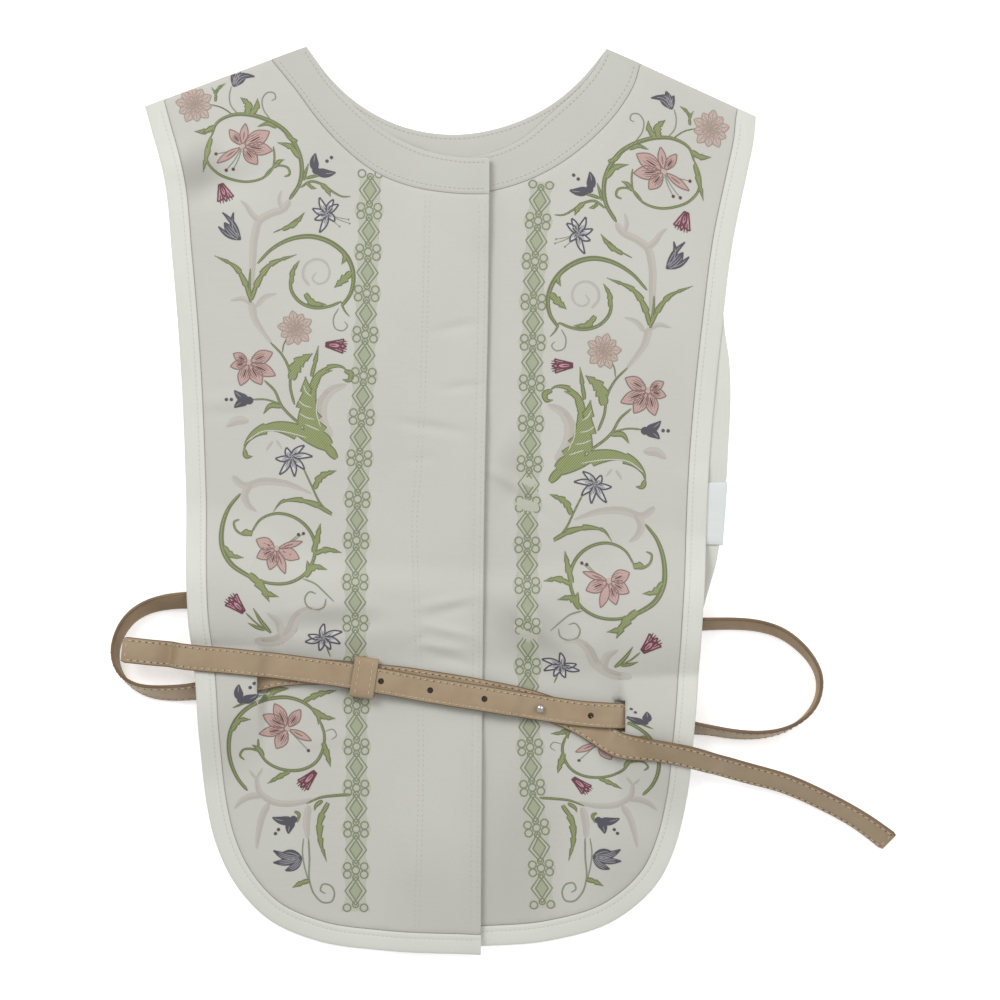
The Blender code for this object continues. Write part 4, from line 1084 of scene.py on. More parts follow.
# Points of a stem, its width at the start and the end, colour and swell
STEMS = [
    ([(289, 199), (299, 183), (301, 163), (295, 145), (283, 129), (266, 119), (247, 114),
      (230, 115), (216, 123), (211, 136)], 3.6, 2.2, "leaf", 1.6),
    ([(211, 135), (206, 150), (208, 163), (216, 172), (232, 179), (249, 181), (263, 177),
      (272, 168), (274, 156), (273, 146)], 2.4, 1.8, "leaf", 0.4),
    ([(263, 177), (271, 168), (280, 165), (288, 168), (289, 174), (284, 176)], 1.8, 2.4, "leaf", 0),
    ([(270, 119), (263, 109), (262, 98), (267, 92), (274, 93), (275, 98), (271, 100)],
     1.3, 1.3, "tendril", 0),
    ([(238, 114), (230, 104), (229, 94), (231, 86)], 1.3, 1.2, "tendril", 0),
    ([(232, 114), (221, 107), (210, 104)], 1.4, 1.2, "leaf", 0),
    ([(300, 187), (310, 181), (322, 184), (332, 191), (342, 196), (350, 196)], 2.4, 1.3, "leaf", 0.6),
    ([(289, 200), (283, 208), (270, 213), (259, 220), (254, 236), (252, 262), (250, 290)],
     6.5, 5.0, "taupe", 1.5),
    ([(259, 220), (252, 214), (245, 204), (240, 200)], 6.0, 2.0, "taupe", 1.0),
    ([(281, 208), (279, 198), (281, 190)], 4.0, 1.5, "taupe", 1.0),
    ([(273, 232), (286, 226), (296, 218)], 1.4, 1.2, "leaf", 0),
    ([(250, 302), (249, 286), (250, 268)], 4.0, 1.6, "leaf", 0),
    ([(257, 263), (272, 248), (292, 238), (312, 236), (332, 243), (347, 257), (353, 275),
      (350, 293), (341, 306)], 2.4, 3.2, "leaf", 2.2),
    ([(298, 261), (291, 275), (291, 290), (299, 301), (313, 307), (328, 306), (341, 301)],
     2.6, 2.4, "leaf", 1.0),
    ([(309, 285), (303, 276), (305, 265), (314, 259), (325, 262), (329, 272), (325, 281),
      (317, 283), (312, 278), (316, 272)], 3.0, 1.6, "taupe", 0),
    ([(341, 302), (344, 310), (349, 316)], 2.4, 1.2, "leaf", 0),
    ([(338, 308), (333, 318), (335, 328), (343, 330), (347, 325), (344, 321)], 1.3, 1.2, "tendril", 0),
    ([(286, 338), (283, 345), (282, 352)], 1.3, 1.3, "leaf", 0),
    ([(251, 302), (254, 318), (262, 331), (271, 343)], 8.0, 3.0, "taupe", 0),
    ([(252, 304), (243, 298), (230, 300)], 5.0, 1.5, "taupe", 1.5),
    ([(256, 306), (264, 297), (276, 293)], 5.0, 1.5, "taupe", 1.5),
    ([(270, 342), (282, 355), (289, 370), (290, 388), (294, 404)], 1.8, 2.6, "leaf", 0.4),
    ([(264, 380), (274, 390), (281, 405), (293, 418), (312, 431), (326, 442)], 2.2, 2.6, "leaf", 0.4),
    ([(252, 399), (265, 399), (279, 403)], 1.8, 1.6, "leaf", 0),
    ([(303, 468), (311, 485), (320, 503), (331, 515)], 1.6, 2.0, "leaf", 0.2),
    ([(232, 476), (243, 485), (262, 481), (285, 483), (311, 493)], 6.0, 2.0, "taupe", 3.0),
    ([(250, 484), (244, 494), (248, 505), (256, 511)], 6.0, 2.0, "taupe", 3.0),
    ([(240, 493), (228, 508), (222, 527), (223, 547), (232, 563), (246, 573), (262, 581)],
     2.6, 3.4, "leaf", 2.0),
    ([(251, 532), (260, 519), (275, 513), (292, 516), (306, 526), (314, 541), (314, 556),
      (304, 574), (289, 582), (268, 582), (250, 575)], 2.0, 2.6, "leaf", 1.2),
    ([(252, 534), (243, 534), (235, 528), (234, 521), (239, 519)], 2.4, 2.2, "leaf", 0),
    ([(303, 578), (315, 583), (325, 592), (334, 601)], 1.8, 1.2, "tendril", 0),
    ([(326, 598), (324, 606), (315, 609), (307, 605), (305, 597), (310, 591), (316, 593)],
     1.6, 1.5, "tendril", 0),
    ([(247, 612), (257, 622), (271, 632)], 1.8, 1.4, "leaf", 0),
    ([(255, 640), (275, 640), (290, 630), (297, 616), (308, 609), (320, 611)], 7.0, 3.0, "taupe", 6.0),
    ([(282, 637), (279, 622), (268, 612)], 6.0, 2.0, "taupe", 3.0),
    ([(326, 646), (330, 656)], 1.5, 1.3, "leaf", 0),
    ([(247, 790), (238, 779), (231, 763), (229, 745), (232, 728), (241, 713), (254, 703),
      (270, 698), (288, 697), (303, 702), (314, 711), (320, 722)], 3.2, 2.6, "leaf", 1.4),
    ([(320, 721), (324, 735), (322, 750), (316, 761), (305, 768), (290, 770), (276, 767),
      (265, 760), (259, 750), (258, 738)], 2.6, 2.2, "leaf", 0.8),
    ([(260, 751), (251, 748), (243, 749), (240, 755), (244, 759)], 2.4, 2.2, "leaf", 0),
    ([(234, 706), (246, 701), (262, 694)], 1.6, 1.4, "leaf", 1.2),
    ([(350, 794), (335, 795), (320, 797), (306, 803)], 2.8, 1.6, "leaf", 0.6),
    ([(312, 799), (292, 803), (272, 801), (259, 791), (256, 776)], 4.0, 4.0, "taupe", 2.0),
    ([(262, 795), (249, 796), (240, 801), (234, 808)], 6.0, 2.0, "taupe", 2.0),
    ([(268, 803), (262, 815), (258, 832), (256, 848)], 6.0, 2.0, "taupe", 2.0),
    ([(308, 805), (306, 822), (307, 838)], 6.0, 4.0, "taupe", 2.0),
    ([(255, 777), (249, 770)], 4.0, 1.5, "taupe", 0), ([(257, 777), (262, 768)], 4.0, 1.5, "taupe", 0),
    ([(303, 838), (302, 852), (304, 866), (308, 880)], 1.3, 1.4, "tendril", 0),
    ([(308, 838), (309, 858), (309, 880), (314, 894), (323, 902), (331, 901), (334, 893),
      (330, 885), (322, 884), (320, 890), (325, 893)], 1.8, 1.5, "tendril", 0),
    ([(324, 731), (333, 729), (336, 735), (331, 739)], 1.1, 1.1, "tendril", 0),
    ([(248, 420), (236, 420), (226, 426)], 6.0, 3.0, "taupe", 4.0),
    ([(331, 436), (322, 420), (322, 402), (331, 390), (346, 384)], 7.0, 4.0, "taupe", 5.0),
    ([(272, 441), (268, 446), (266, 450)], 4.0, 1.5, "taupe", 0),
    ([(276, 440), (281, 448)], 3.0, 1.5, "taupe", 0),
]
# Points of a midrib, width to the left and to the right of it, number of teeth
LEAVES = [
    ([(214, 126), (205, 131), (194, 131)], 3.5, 3.0, 2), ([(211, 138), (207, 155), (203, 172)], 3.4, 2.6, 3),
    ([(247, 114), (248, 104), (240, 97)], 4.0, 5.0, 3), ([(250, 114), (256, 106), (257, 98)], 4.0, 3.0, 2),
    ([(299, 157), (290, 146), (277, 142)], 3.0, 3.6, 2), ([(297, 141), (290, 138), (284, 133)], 2.0, 2.0, 0),
    ([(276, 127), (268, 123), (257, 126)], 1.8, 2.2, 0), ([(273, 167), (278, 161), (284, 159)], 3.0, 2.0, 2),
    ([(215, 101), (215, 93), (211, 87)], 1.6, 1.6, 2), ([(214, 94), (219, 87), (225, 83)], 1.8, 1.8, 2),
    ([(303, 180), (305, 172), (308, 163)], 1.5, 1.5, 0), ([(305, 178), (312, 176), (321, 175)], 1.5, 1.5, 0),
    ([(321, 184), (327, 190), (330, 196)], 2.6, 3.6, 2), ([(307, 183), (311, 187), (316, 188)], 1.6, 2.4, 2),
    ([(282, 229), (295, 222), (304, 212)], 3.4, 2.6, 3),
    ([(250, 299), (245, 284), (236, 268), (214, 255)], 3.4, 2.8, 4),
    ([(251, 299), (257, 283), (268, 266), (296, 254)], 3.2, 3.8, 5),
    ([(343, 251), (344, 258), (341, 264)], 2.4, 3.0, 2), ([(351, 272), (343, 280), (334, 287)], 5.5, 4.0, 3),
    ([(291, 283), (292, 271), (299, 260)], 3.0, 2.4, 3), ([(305, 293), (312, 302), (326, 304)], 4.2, 3.4, 3),
    ([(291, 379), (297, 364), (312, 353)], 7.0, 7.5, 4), ([(311, 376), (314, 365), (318, 345)], 2.2, 2.6, 2),
    ([(328, 446), (314, 430), (307, 412), (306, 394), (305, 376)], 13.0, 13.5, 5),
    ([(336, 455), (322, 440), (315, 418), (314, 394), (318, 376), (330, 367), (342, 367),
      (349, 374)], 2.8, 7.2, 5),
    ([(316, 385), (321, 374), (332, 370)], 2.0, 5.0, 2),
    ([(344, 370), (351, 374), (348, 380), (342, 379)], 2.8, 2.8, 0),
    ([(329, 447), (311, 437), (291, 427), (271, 425), (254, 432), (245, 443), (243, 452)], 5.5, 10.0, 3),
    ([(244, 449), (246, 456), (252, 456)], 2.4, 2.4, 0), ([(336, 458), (328, 448), (318, 438)], 4.4, 4.4, 0),
    ([(282, 406), (270, 405), (263, 413)], 2.4, 2.8, 0),
    ([(314, 488), (320, 477), (336, 470)], 3.8, 4.4, 4), ([(313, 488), (318, 480), (319, 474)], 2.4, 2.4, 2),
    ([(331, 514), (312, 504), (294, 500), (281, 502), (273, 511)], 4.2, 1.8, 4),
    ([(224, 546), (232, 555), (244, 557)], 2.6, 4.0, 3), ([(252, 534), (246, 532), (240, 533)], 3.8, 3.0, 2),
    ([(313, 552), (317, 537), (320, 523)], 3.6, 4.0, 3), ([(314, 553), (326, 549), (341, 552)], 3.6, 3.0, 3),
    ([(305, 576), (314, 566), (327, 569)], 4.2, 3.4, 3), ([(308, 572), (308, 566), (307, 560)], 2.2, 2.2, 0),
    ([(250, 573), (261, 584), (270, 601)], 5.0, 4.5, 3), ([(262, 585), (268, 592), (279, 596)], 3.2, 3.0, 2),
    ([(271, 632), (262, 621), (254, 607)], 2.0, 1.6, 0), ([(265, 629), (257, 626), (249, 622)], 1.6, 1.6, 0),
    ([(233, 729), (240, 719), (251, 718)], 3.2, 3.6, 3), ([(262, 700), (274, 690), (288, 688)], 3.6, 3.8, 0),
    ([(303, 701), (317, 694), (336, 690)], 3.6, 3.2, 4), ([(316, 710), (324, 716), (335, 718)], 3.6, 2.6, 3),
    ([(323, 742), (327, 754), (330, 766)], 4.0, 3.0, 3), ([(289, 771), (279, 776), (267, 783)], 2.8, 2.8, 3),
    ([(263, 756), (258, 748), (252, 744)], 2.4, 2.4, 0), ([(312, 708), (318, 716), (318, 724)], 2.4, 2.8, 0),
    ([(327, 802), (319, 818), (319, 840), (326, 861)], 2.2, 5.2, 5),
    ([(322, 800), (315, 806), (314, 810)], 2.0, 2.0, 0),
    ([(309, 880), (302, 882), (292, 887)], 3.0, 3.0, 2), ([(294, 811), (298, 813), (297, 822)], 1.6, 1.6, 0),
]
# Where things of the left front come on the right front
RIGHT_PLACES = [
    ((195, 103), (708, 130)), ((240, 76), (665, 95)), ((246, 147), (660, 170)), ((224, 190), (682, 222)),
    ((228, 228), (680, 260)), ((320, 163), (583, 178)), ((326, 212), (580, 230)), ((317, 265), (583, 290)),
    ((294, 325), (605, 347)), ((334, 344), (563, 360)), ((250, 365), (648, 392)), ((240, 397), (652, 433)),
    ((333, 455), (553, 473)), ((293, 457), (590, 488)), ((272, 540), (612, 570)), ((237, 603), (650, 648)),
    ((323, 633), (560, 660)), ((285, 725), (600, 745)), ((308, 778), (578, 782)), ((288, 820), (603, 820)),
    ((290, 862), (605, 858)), ((325, 888), (572, 888)),
]
MIRROR_X = 893.0
PLACE_REACH = 45.0
LEFT_LATTICE = [(370, 169), (366, 300), (362, 400), (357, 500), (355, 600), (356, 700), (355, 911)]
RIGHT_LATTICE = [(541, 180), (534, 269), (532, 352), (530, 436), (527, 519), (527, 617), (529, 731),
                 (533, 803), (540, 860), (542, 908)]
LATTICE_REPEAT = 41.5
LATTICE_STEP = 1.4
# Rings of a rosette: to the side, along and radius, then the width of their thread
LATTICE_RINGS = [
    (-8.4, -3.8, 3.8), (8.4, -3.8, 3.8), (-8.4, 4.2, 3.8), (8.4, 4.2, 3.8), (0.0, -7.0, 3.0),
    (0.0, 7.0, 3.0), (0.0, 0.0, 3.8),
]
RING_THREAD = 1.2
# Diamonds: half width, half length and width of their thread
LATTICE_DIAMONDS = [(6.4, 9.6, 1.2), (10.6, 14.6, 1.1)]
# The filled middle of a diamond: half length and half width
LATTICE_FIELD = (9.2, 6.0)


def to_right(points):
    """The right front's needlework: the left's mirrored and moved as its cut was."""
    known = np.array([a for a, _ in RIGHT_PLACES], float)
    shift = np.array([(r[0] - (MIRROR_X - a[0]), r[1] - a[1]) for a, r in RIGHT_PLACES])
    square = ((points[:, None, :] - known[None, :, :]) ** 2).sum(axis=2)
    weight = np.exp(-square / (2 * PLACE_REACH**2)) + 1e-9
    moved = (weight[..., None] * shift[None]).sum(axis=1) / weight.sum(axis=1)[:, None]
    return np.column_stack([MIRROR_X - points[:, 0], points[:, 1]]) + moved


def lattice(drawn, centre_line):
    """A strip of diamonds and rosettes of rings in turn."""
    line = needle_line(centre_line, 1.0)
    at = length_along(line)
    total = at[-1]
    units = round(total / LATTICE_REPEAT)
    pitch = total / units

    def place(distance, side=0.0):
        i = min(max(int(np.searchsorted(at, distance)), 1), len(line) - 1)
        run = line[i] - line[i - 1]
        run = run / np.linalg.norm(run)
        return line[i - 1] + run * (distance - at[i - 1]) + np.array([run[1], -run[0]]) * side

    steps = np.arange(0.0, total, LATTICE_STEP)
    spine = np.array([place(d) for d in steps])
    half = 11.5 + 2.2 * np.cos(2 * np.pi * steps / pitch) + 0.8 * np.cos(4 * np.pi * steps / pitch)
    satin(drawn, "lattice_ground", spine, half, half, 15)
    for unit in range(units + 1):
        middle = unit * pitch
        for side, up, radius in LATTICE_RINGS:
            if 3 < middle + up < total - 3:
                ring(drawn, place(middle + up, side), radius, RING_THREAD, "lattice_line")
        if unit == units:
            break
        middle += pitch / 2
        for wide, high, width in LATTICE_DIAMONDS:
            corners = [(0, -high), (wide, 0), (0, high), (-wide, 0), (0, -high)]
            for (s0, u0), (s1, u1) in zip(corners, corners[1:]):
                ends = np.array([place(middle + u0, s0), place(middle + u1, s1)])
                leg = ends[0] + np.outer(np.linspace(0, 1, 6), ends[1] - ends[0])
                half = np.full(6, width / 2)
                satin(drawn, "lattice_line", leg, half, half, 3)
        reach, wide = LATTICE_FIELD
        field = np.array([place(middle + u) for u in np.linspace(-reach, reach, 9)])
        half = wide * (1 - abs(np.linspace(-1, 1, 9))) + 0.1
        satin(drawn, "lattice_field", field, half, half, 5)


# Lines of bare ground that part the blades of the great leaf
GAPS = [
    [(317, 398), (316, 412), (320, 426)], [(298, 400), (304, 405), (311, 407)],
    [(299, 413), (306, 417), (314, 419)], [(305, 424), (312, 427), (319, 430)],
    [(303, 385), (306, 392), (311, 396)], [(246, 441), (262, 431), (282, 431), (306, 437)],
]


def set_out_flowers():
    drawn = {}
    for points in GAPS:
        stem(drawn, points, 1.2, 1.0, "ground")
    for points, start, end, colour, swell in STEMS:
        stem(drawn, points, start, end, colour, swell)
    for points, left, right, teeth in LEAVES:
        leaf(drawn, points, left, right, teeth)
    for draw, rows in (
        (lily, LILIES), (pale_flower, PALE_FLOWERS), (star_flower, STAR_FLOWERS), (tulip, TULIPS),
        (bell, BELLS), (bud, BUDS),
    ):
        for row in rows:
            draw(drawn, *row)
    return drawn


def runs_of(valid):
    """The stretches of rows that are all valid, two or more long."""
    found, start = [], None
    for i, ok in enumerate(list(valid) + [False]):
        if ok and start is None:
            start = i
        elif not ok and start is not None:
            if i - start > 1:
                found.append((start, i))
            start = None
    return found


def to_vest(px, py):
    """Millimetres on the vest of a place in the photograph's pixels."""
    return (px - PICTURE_CENTRE) * PIXEL, (PICTURE_CENTRE - py) * PIXEL


def height_on(cloth, x, y):
    """Height of the cloth at a place, in millimetres, or NO_CLOTH."""
    a, b, _ = to_metres(x, y, 0.0)
    hit = cloth.ray_cast(Vector((a, b, RAY_START)), DOWN)[0]
    return NO_CLOTH if hit is None else hit.z / MM


def threads(name, bands, colour, cloth, material):
    """One piece of all bands of one colour on one front, each a low closed ridge of thread
    that lies on the cloth. What would pass the cloth's edge is cut off."""
    level = THREADS[colour][1] * LIFT + BED
    flat = np.concatenate([band.reshape(-1, 2) for band in bands])
    height = np.array([height_on(cloth, *to_vest(px, py)) for px, py in flat])
    points, faces, start, first = [], [], 0, 0
    for band in bands:
        rows, columns = band.shape[:2]
        z = height[first : first + rows * columns].reshape(rows, columns)
        first += rows * columns
        crown = CROWN * np.sqrt(np.maximum(1 - np.linspace(-1, 1, columns) ** 2, 0.0))
        for low, high in runs_of((z > 0).all(axis=1)):
            part, count = band[low:high], high - low
            place = np.empty((count, columns, 3))
            place[..., 0], place[..., 1] = to_vest(part[..., 0], part[..., 1])
            place[..., 2] = z[low:high] + level + crown
            points.append(place.reshape(-1, 3))
            at = np.arange(count * columns).reshape(count, columns) + start
            quads = np.stack([at[:-1, :-1], at[:-1, 1:], at[1:, 1:], at[1:, :-1]], axis=-1)
            under = np.stack([at[:-1, 0], at[1:, 0], at[1:, -1], at[:-1, -1]], axis=-1)
            closed = [tuple(q) for q in quads.reshape(-1, 4)] + [tuple(q) for q in under]
            closed += [tuple(at[0, ::-1]), tuple(at[-1])]
            across = place[:-1, -1, :2] - place[:-1, 0, :2]
            ahead = place[1:, 0, :2] - place[:-1, 0, :2]
            upwards = (across[:, 0] * ahead[:, 1] - across[:, 1] * ahead[:, 0]).sum() > 0
            faces += closed if upwards else [face[::-1] for face in closed]
            start += count * columns
    piece = add_mesh(name, np.concatenate(points), faces, [material])
    piece.data.set_sharp_from_angle(angle=FINE_SHARP)
    return piece


def make_needlework(fronts, looks):
    pieces = {}
    flowers = set_out_flowers()
    graph = bpy.context.evaluated_depsgraph_get()
    for side, lattice_line in (("left", LEFT_LATTICE), ("right", RIGHT_LATTICE)):
        cloth = BVHTree.FromObject(fronts[side], graph)
        drawn = {}
        for colour, bands in flowers.items():
            drawn[colour] = bands if side == "left" else [
                to_right(band.reshape(-1, 2)).reshape(band.shape) for band in bands
            ]
        lattice(drawn, lattice_line)
        pieces[side] = [
            threads(f"{side}_{colour}_threads", bands, colour, cloth, looks[colour])
            for colour, bands in drawn.items()
        ]
    return pieces


# How high a stitch stands, as a share of its thickness
STITCH_RISE = 0.35


def stitches(name, runs, pitch, length, thick, material, slot):
    """Stitches along runs of points of x, y, z with an outward direction at each point."""
    form = bmesh.new()
    bmesh.ops.create_uvsphere(form, u_segments=6, v_segments=5, radius=1.0)
    shape = np.array([v.co[:] for v in form.verts])
    sides = [tuple(v.index for v in f.verts) for f in form.faces]
    form.free()
    points, faces = [], []
    for path, out in runs:
        at = length_along(path)
        count = int(at[-1] / pitch)
        where = (np.arange(count) + 0.5) * at[-1] / max(count, 1)
        ends = [
            np.column_stack([np.interp(where + d, at, path[:, i]) for i in range(3)])
            for d in (-length / 2, length / 2)
        ]
        up = np.column_stack([np.interp(where, at, out[:, i]) for i in range(3)])
        for a, b, u in zip(ends[0], ends[1], up):
            run = (b - a) / max(float(np.linalg.norm(b - a)), 1e-6)
            u = u - run * float(u @ run)
            u /= np.linalg.norm(u)
            side = np.cross(u, run)
            middle = (a + b) / 2
            # a stitch sinks at both of its ends
            arch = STITCH_RISE * thick * (1 - shape[:, 2] ** 2)
            place = (
                middle + np.outer(shape[:, 2] * length / 2, run)
                + np.outer(shape[:, 0] * thick / 2, side)
                + np.outer(shape[:, 1] * thick * STITCH_RISE + arch, u)
            )
            start = len(points) * len(shape)
            points.append(place)
            faces += [tuple(i + start for i in f) for f in sides]
    piece = outward(add_mesh(name, np.concatenate(points), faces, [material]))
    return piece


def on_cloth(line, cloth):
    """A run for stitches: the points of a line of x, y that have cloth below, laid on it."""
    kept = []
    for x, y in line[:, :2]:
        height = height_on(cloth, x, y)
        if height > NO_CLOTH:
            kept.append((x, y, height))
    path = np.array(kept)
    return path, np.tile([0.0, 0.0, 1.0], (len(path), 1))


def between(outer, inner, share):
    """The line at a share of the way from one line to another."""
    return outer * (1 - share) + inner * share


def tree_of(piece):
    return BVHTree.FromObject(piece, bpy.context.evaluated_depsgraph_get())


# Stitches: pitch, length and thickness
BINDING_SEWING, BAND_SEWING, PLACKET_SEWING = (2.9, 2.1, 0.42), (2.9, 1.9, 0.4), (3.1, 2.0, 0.36)
BELT_SEWING, NEEDLE_HOLE_SHADES = (4.2, 2.7, 0.72), (4.2, 0.9, 0.72)
KEEPER_SEWING = (4.4, 3.1, 0.62)
# Where rows run: as a share of the width of a binding and of a neckband, and beside the
# placket's edge and its fold
BINDING_GROOVE, BAND_GROOVES = 0.735, (0.125, 0.865)
PLACKET_EDGE_ROWS, PLACKET_FOLD_ROWS = (-2.4, -6.2), (0.0, 3.0)


def collar_stitches(side_name, rows, band, looks):
    neck, seam = paired(rows, BAND_STEP)
    tree = tree_of(band)
    runs = [on_cloth(between(neck, seam, share)[1:-1], tree) for share in BAND_GROOVES]
    return stitches(
        side_name + "_collar_stitches", runs, *BAND_SEWING, looks["grey_thread"], "neckband"
    )


def make_cloth_stitches(pieces, looks):
    """Machine stitching of the bindings, the neckbands and the placket."""
    made = {}
    for side_name, side, inwards, rows in (
        ("left", LEFT_SIDE, 1, NECK_LEFT), ("right", RIGHT_SIDE, -1, NECK_RIGHT),
    ):
        _, band, edge = pieces[side_name]
        outer, inner = binding_edges(side, inwards, rows[0][1])
        run = on_cloth(between(outer, inner, BINDING_GROOVE)[2:-2], tree_of(edge))
        made[side_name] = [
            stitches(
                side_name + "_binding_stitches", [run], *BINDING_SEWING, looks["pale_thread"], "binding"
            ),
            collar_stitches(side_name, rows, band, looks),
        ]
    tree = tree_of(pieces["left"][0])
    edge = smooth_line(PLACKET_EDGE, 2.0)[3:-8]
    turned = smooth_line(PLACKET_TOPSTITCH, 2.0)
    runs = [on_cloth(edge + np.array([shift, 0.0]), tree) for shift in PLACKET_EDGE_ROWS]
    runs += [on_cloth(turned + np.array([shift, 0.0]), tree) for shift in PLACKET_FOLD_ROWS]
    made["left"].append(
        stitches("placket_stitches", runs, *PLACKET_SEWING, looks["pale_thread"], "cloth")
    )
    made["back"] = [collar_stitches("back", NECK_BACK, pieces["back"][1], looks)]
    return made


def make_belt_stitches(line, looks):
    """Stitching along both edges of the belt's outer face and across its ends, and dark marks
    of painted shade for the needle's holes between the stitches."""
    along, across, face = belt_axes(line)
    runs = []
    for side in (-1, 1):
        path = line[:, :3] + across * side * BELT_STITCH + face * STITCH_LEVEL
        runs.append((path[1:-1], face[1:-1]))
    for end, inwards in ((0, 1), (-1, -1)):
        middle = line[end, :3] + inwards * along[end] * END_STITCH + face[end] * END_LEVEL
        width = np.linspace(-BELT_STITCH, BELT_STITCH, 5)
        runs.append((middle + np.outer(width, across[end]), np.tile(face[end], (5, 1))))
    stitches("belt_stitches", runs, *BELT_SEWING, looks["belt_thread"], "leather")
    # Dark marks between the stitches are painted shade of the needle's holes.
    half_pitch = BELT_SEWING[0] / 2
    ends = [(path + along[1:-1] * half_pitch, out) for path, out in runs[:2]]
    stitches("belt_needle_hole_shades", ends, *NEEDLE_HOLE_SHADES, looks["hole_painted_shade"], "leather")


def drill_belt(belt, looks):
    """Round holes through the straps, their walls lined with dark leather as painted shade of the holes'
    depth.
    """
    belt.data.materials.append(looks["hole_painted_shade"])
    for place in PUNCHED_HOLES + [STUD_AT]:
        bpy.ops.mesh.primitive_cylinder_add(
            vertices=24, radius=HOLE_RADIUS * HOLE_SHARE * MM, depth=DRILL_DEPTH,
            location=to_metres(*place, DRILL_LEVEL),
        )
        cutter = bpy.context.active_object
        # The cutter's faces carry the dark painted shade onto the holes' walls.
        for _ in belt.data.materials:
            cutter.data.materials.append(looks["hole_painted_shade"])
        last_slot = len(belt.data.materials) - 1
        cutter.data.polygons.foreach_set("material_index", [last_slot] * len(cutter.data.polygons))
        hole = belt.modifiers.new("hole", "BOOLEAN")
        hole.object = cutter
        hole.operation = "DIFFERENCE"
        clear_selection()
        bpy.context.view_layer.objects.active = belt
        belt.select_set(True)
        bpy.ops.object.modifier_apply(modifier=hole.name)
        bpy.data.objects.remove(cutter, do_unlink=True)
        clear_selection()


def swept_ring(name, path, out, section, material):
    """A closed ring: a section of pairs (along the axis, out of the ring) round a path."""
    axis = np.cross(out[0], path[1] - path[0])
    axis /= np.linalg.norm(axis)
    section = np.array(section)
    rows, count = len(path), len(section)
    points = (
        path[:, None, :] + axis[None, None, :] * section[None, :, :1]
        + out[:, None, :] * section[None, :, 1:2]
    )
    at = np.arange(rows * count).reshape(rows, count)
    faces = []
    for i in range(rows):
        for j in range(count):
            k, m = (i + 1) % rows, (j + 1) % count
            faces.append((at[i, j], at[k, j], at[k, m], at[i, m]))
    distance = np.arange(rows) * RING_MAP_STEP
    uv = np.stack(np.broadcast_arrays(distance[:, None], section[None, :, 0]), axis=2)
    piece = outward(add_mesh(name, points.reshape(-1, 3), faces, [material], uv.reshape(-1, 2)))
    return piece, axis


def make_keeper(looks):
    """The leather keeper round both straps, with a row of stitches near each edge."""
    under, top = under_strap_line(), top_strap_line()
    low = height_at(under, KEEPER_AT) - BELT_WALL / 2 - GAP - KEEPER_WALL / 2
    high = height_at(top, KEEPER_AT) + BELT_WALL / 2 + KEEPER_SLACK * GAP + KEEPER_WALL / 2
    turn = math.radians(KEEPER_TURN)
    across = np.array([-math.sin(turn), math.cos(turn), 0.0])
    up = np.array([0.0, 0.0, 1.0])
    half, middle = (KEEPER_SPAN - KEEPER_WALL) / 2, (low + high) / 2
    angle = np.radians(np.arange(0, 360, 6.0))
    wide = half * np.sign(np.cos(angle)) * abs(np.cos(angle)) ** KEEPER_CORNERS
    tall = (high - low) / 2 * np.sign(np.sin(angle)) * abs(np.sin(angle)) ** KEEPER_CORNERS
    centre = np.array([*KEEPER_AT, middle])
    path = centre + np.outer(wide, across) + np.outer(tall, up)
    back, ahead = np.roll(path, 1, axis=0), np.roll(path, -1, axis=0)
    along = (ahead - back) / np.linalg.norm(ahead - back, axis=1)[:, None]
    axis = np.cross(across, up)
    out = np.cross(along, axis)
    out *= np.sign(((path - centre) * out).sum(axis=1))[:, None]
    end, wall = KEEPER_LENGTH / 2, KEEPER_WALL / 2
    face = [(inset - end, wall * share) for inset, share in KEEPER_FACE]
    section = face + [(0.0, wall * KEEPER_CROWN)]
    section += [(end - inset, wall * share) for inset, share in KEEPER_FACE[:0:-1]]
    section += [(end, 0.0)] + [(end - inset, -wall * share) for inset, share in KEEPER_FACE[1:3]]
    section += [(inset - end, -wall * share) for inset, share in KEEPER_FACE[2:0:-1]]
    keeper, axis = swept_ring("leather_keeper", path, out, section, looks["leather"])
    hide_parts("belt_keeper")
    upper = (out[:, 2] > 0.9) & (path[:, 2] > middle)
    top_path, top_out = path[upper], out[upper]
    order = np.argsort(top_path @ across)
    groove = end - KEEPER_FACE[4][0]
    runs = [
        (top_path[order] + top_out[order] * wall + axis * shift, top_out[order])
        for shift in (-groove, groove)
    ]
    stitches("keeper_stitches", runs, *KEEPER_SEWING, looks["belt_thread"], "leather")


def height_at(line, place):
    """Height of a strap's middle line at its point nearest a place."""
    return line[np.hypot(line[:, 0] - place[0], line[:, 1] - place[1]).argmin(), 2]


def make_stud(looks):
    """A turned ball stud whose neck passes the top strap."""
    under, top = under_strap_line(), top_strap_line()
    low = height_at(under, STUD_AT) - BELT_WALL / 2
    seat = height_at(top, STUD_AT) + BELT_WALL / 2
    clear_selection()
    bpy.ops.mesh.primitive_uv_sphere_add(
        segments=40, ring_count=24, radius=STUD_HEAD * MM,
        location=to_metres(*STUD_AT, seat + STUD_HEAD * STUD_SINK),
    )
    stud = bpy.context.active_object
    stud.name = "ball_stud"
    bpy.ops.object.shade_smooth()
    # the ball is flattened a little before its neck is added
    bpy.ops.object.mode_set(mode="EDIT")
    bpy.ops.transform.resize(value=(1.0, 1.0, STUD_FLATNESS))
    bpy.ops.mesh.select_all(action="DESELECT")
    bpy.ops.mesh.primitive_cylinder_add(
        vertices=32, radius=STUD_NECK * MM, depth=(seat + STUD_HEAD - low) * MM,
        location=to_metres(*STUD_AT, (seat + STUD_HEAD + low) / 2),
    )
    bpy.ops.object.mode_set(mode="OBJECT")
    bpy.ops.object.transform_apply(location=True, rotation=True, scale=True)
    stud.data.materials.append(looks["stud"])
    stud.data.set_sharp_from_angle(angle=FINE_SHARP)
    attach(stud, "root")
    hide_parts("belt_stud")
    clear_selection()


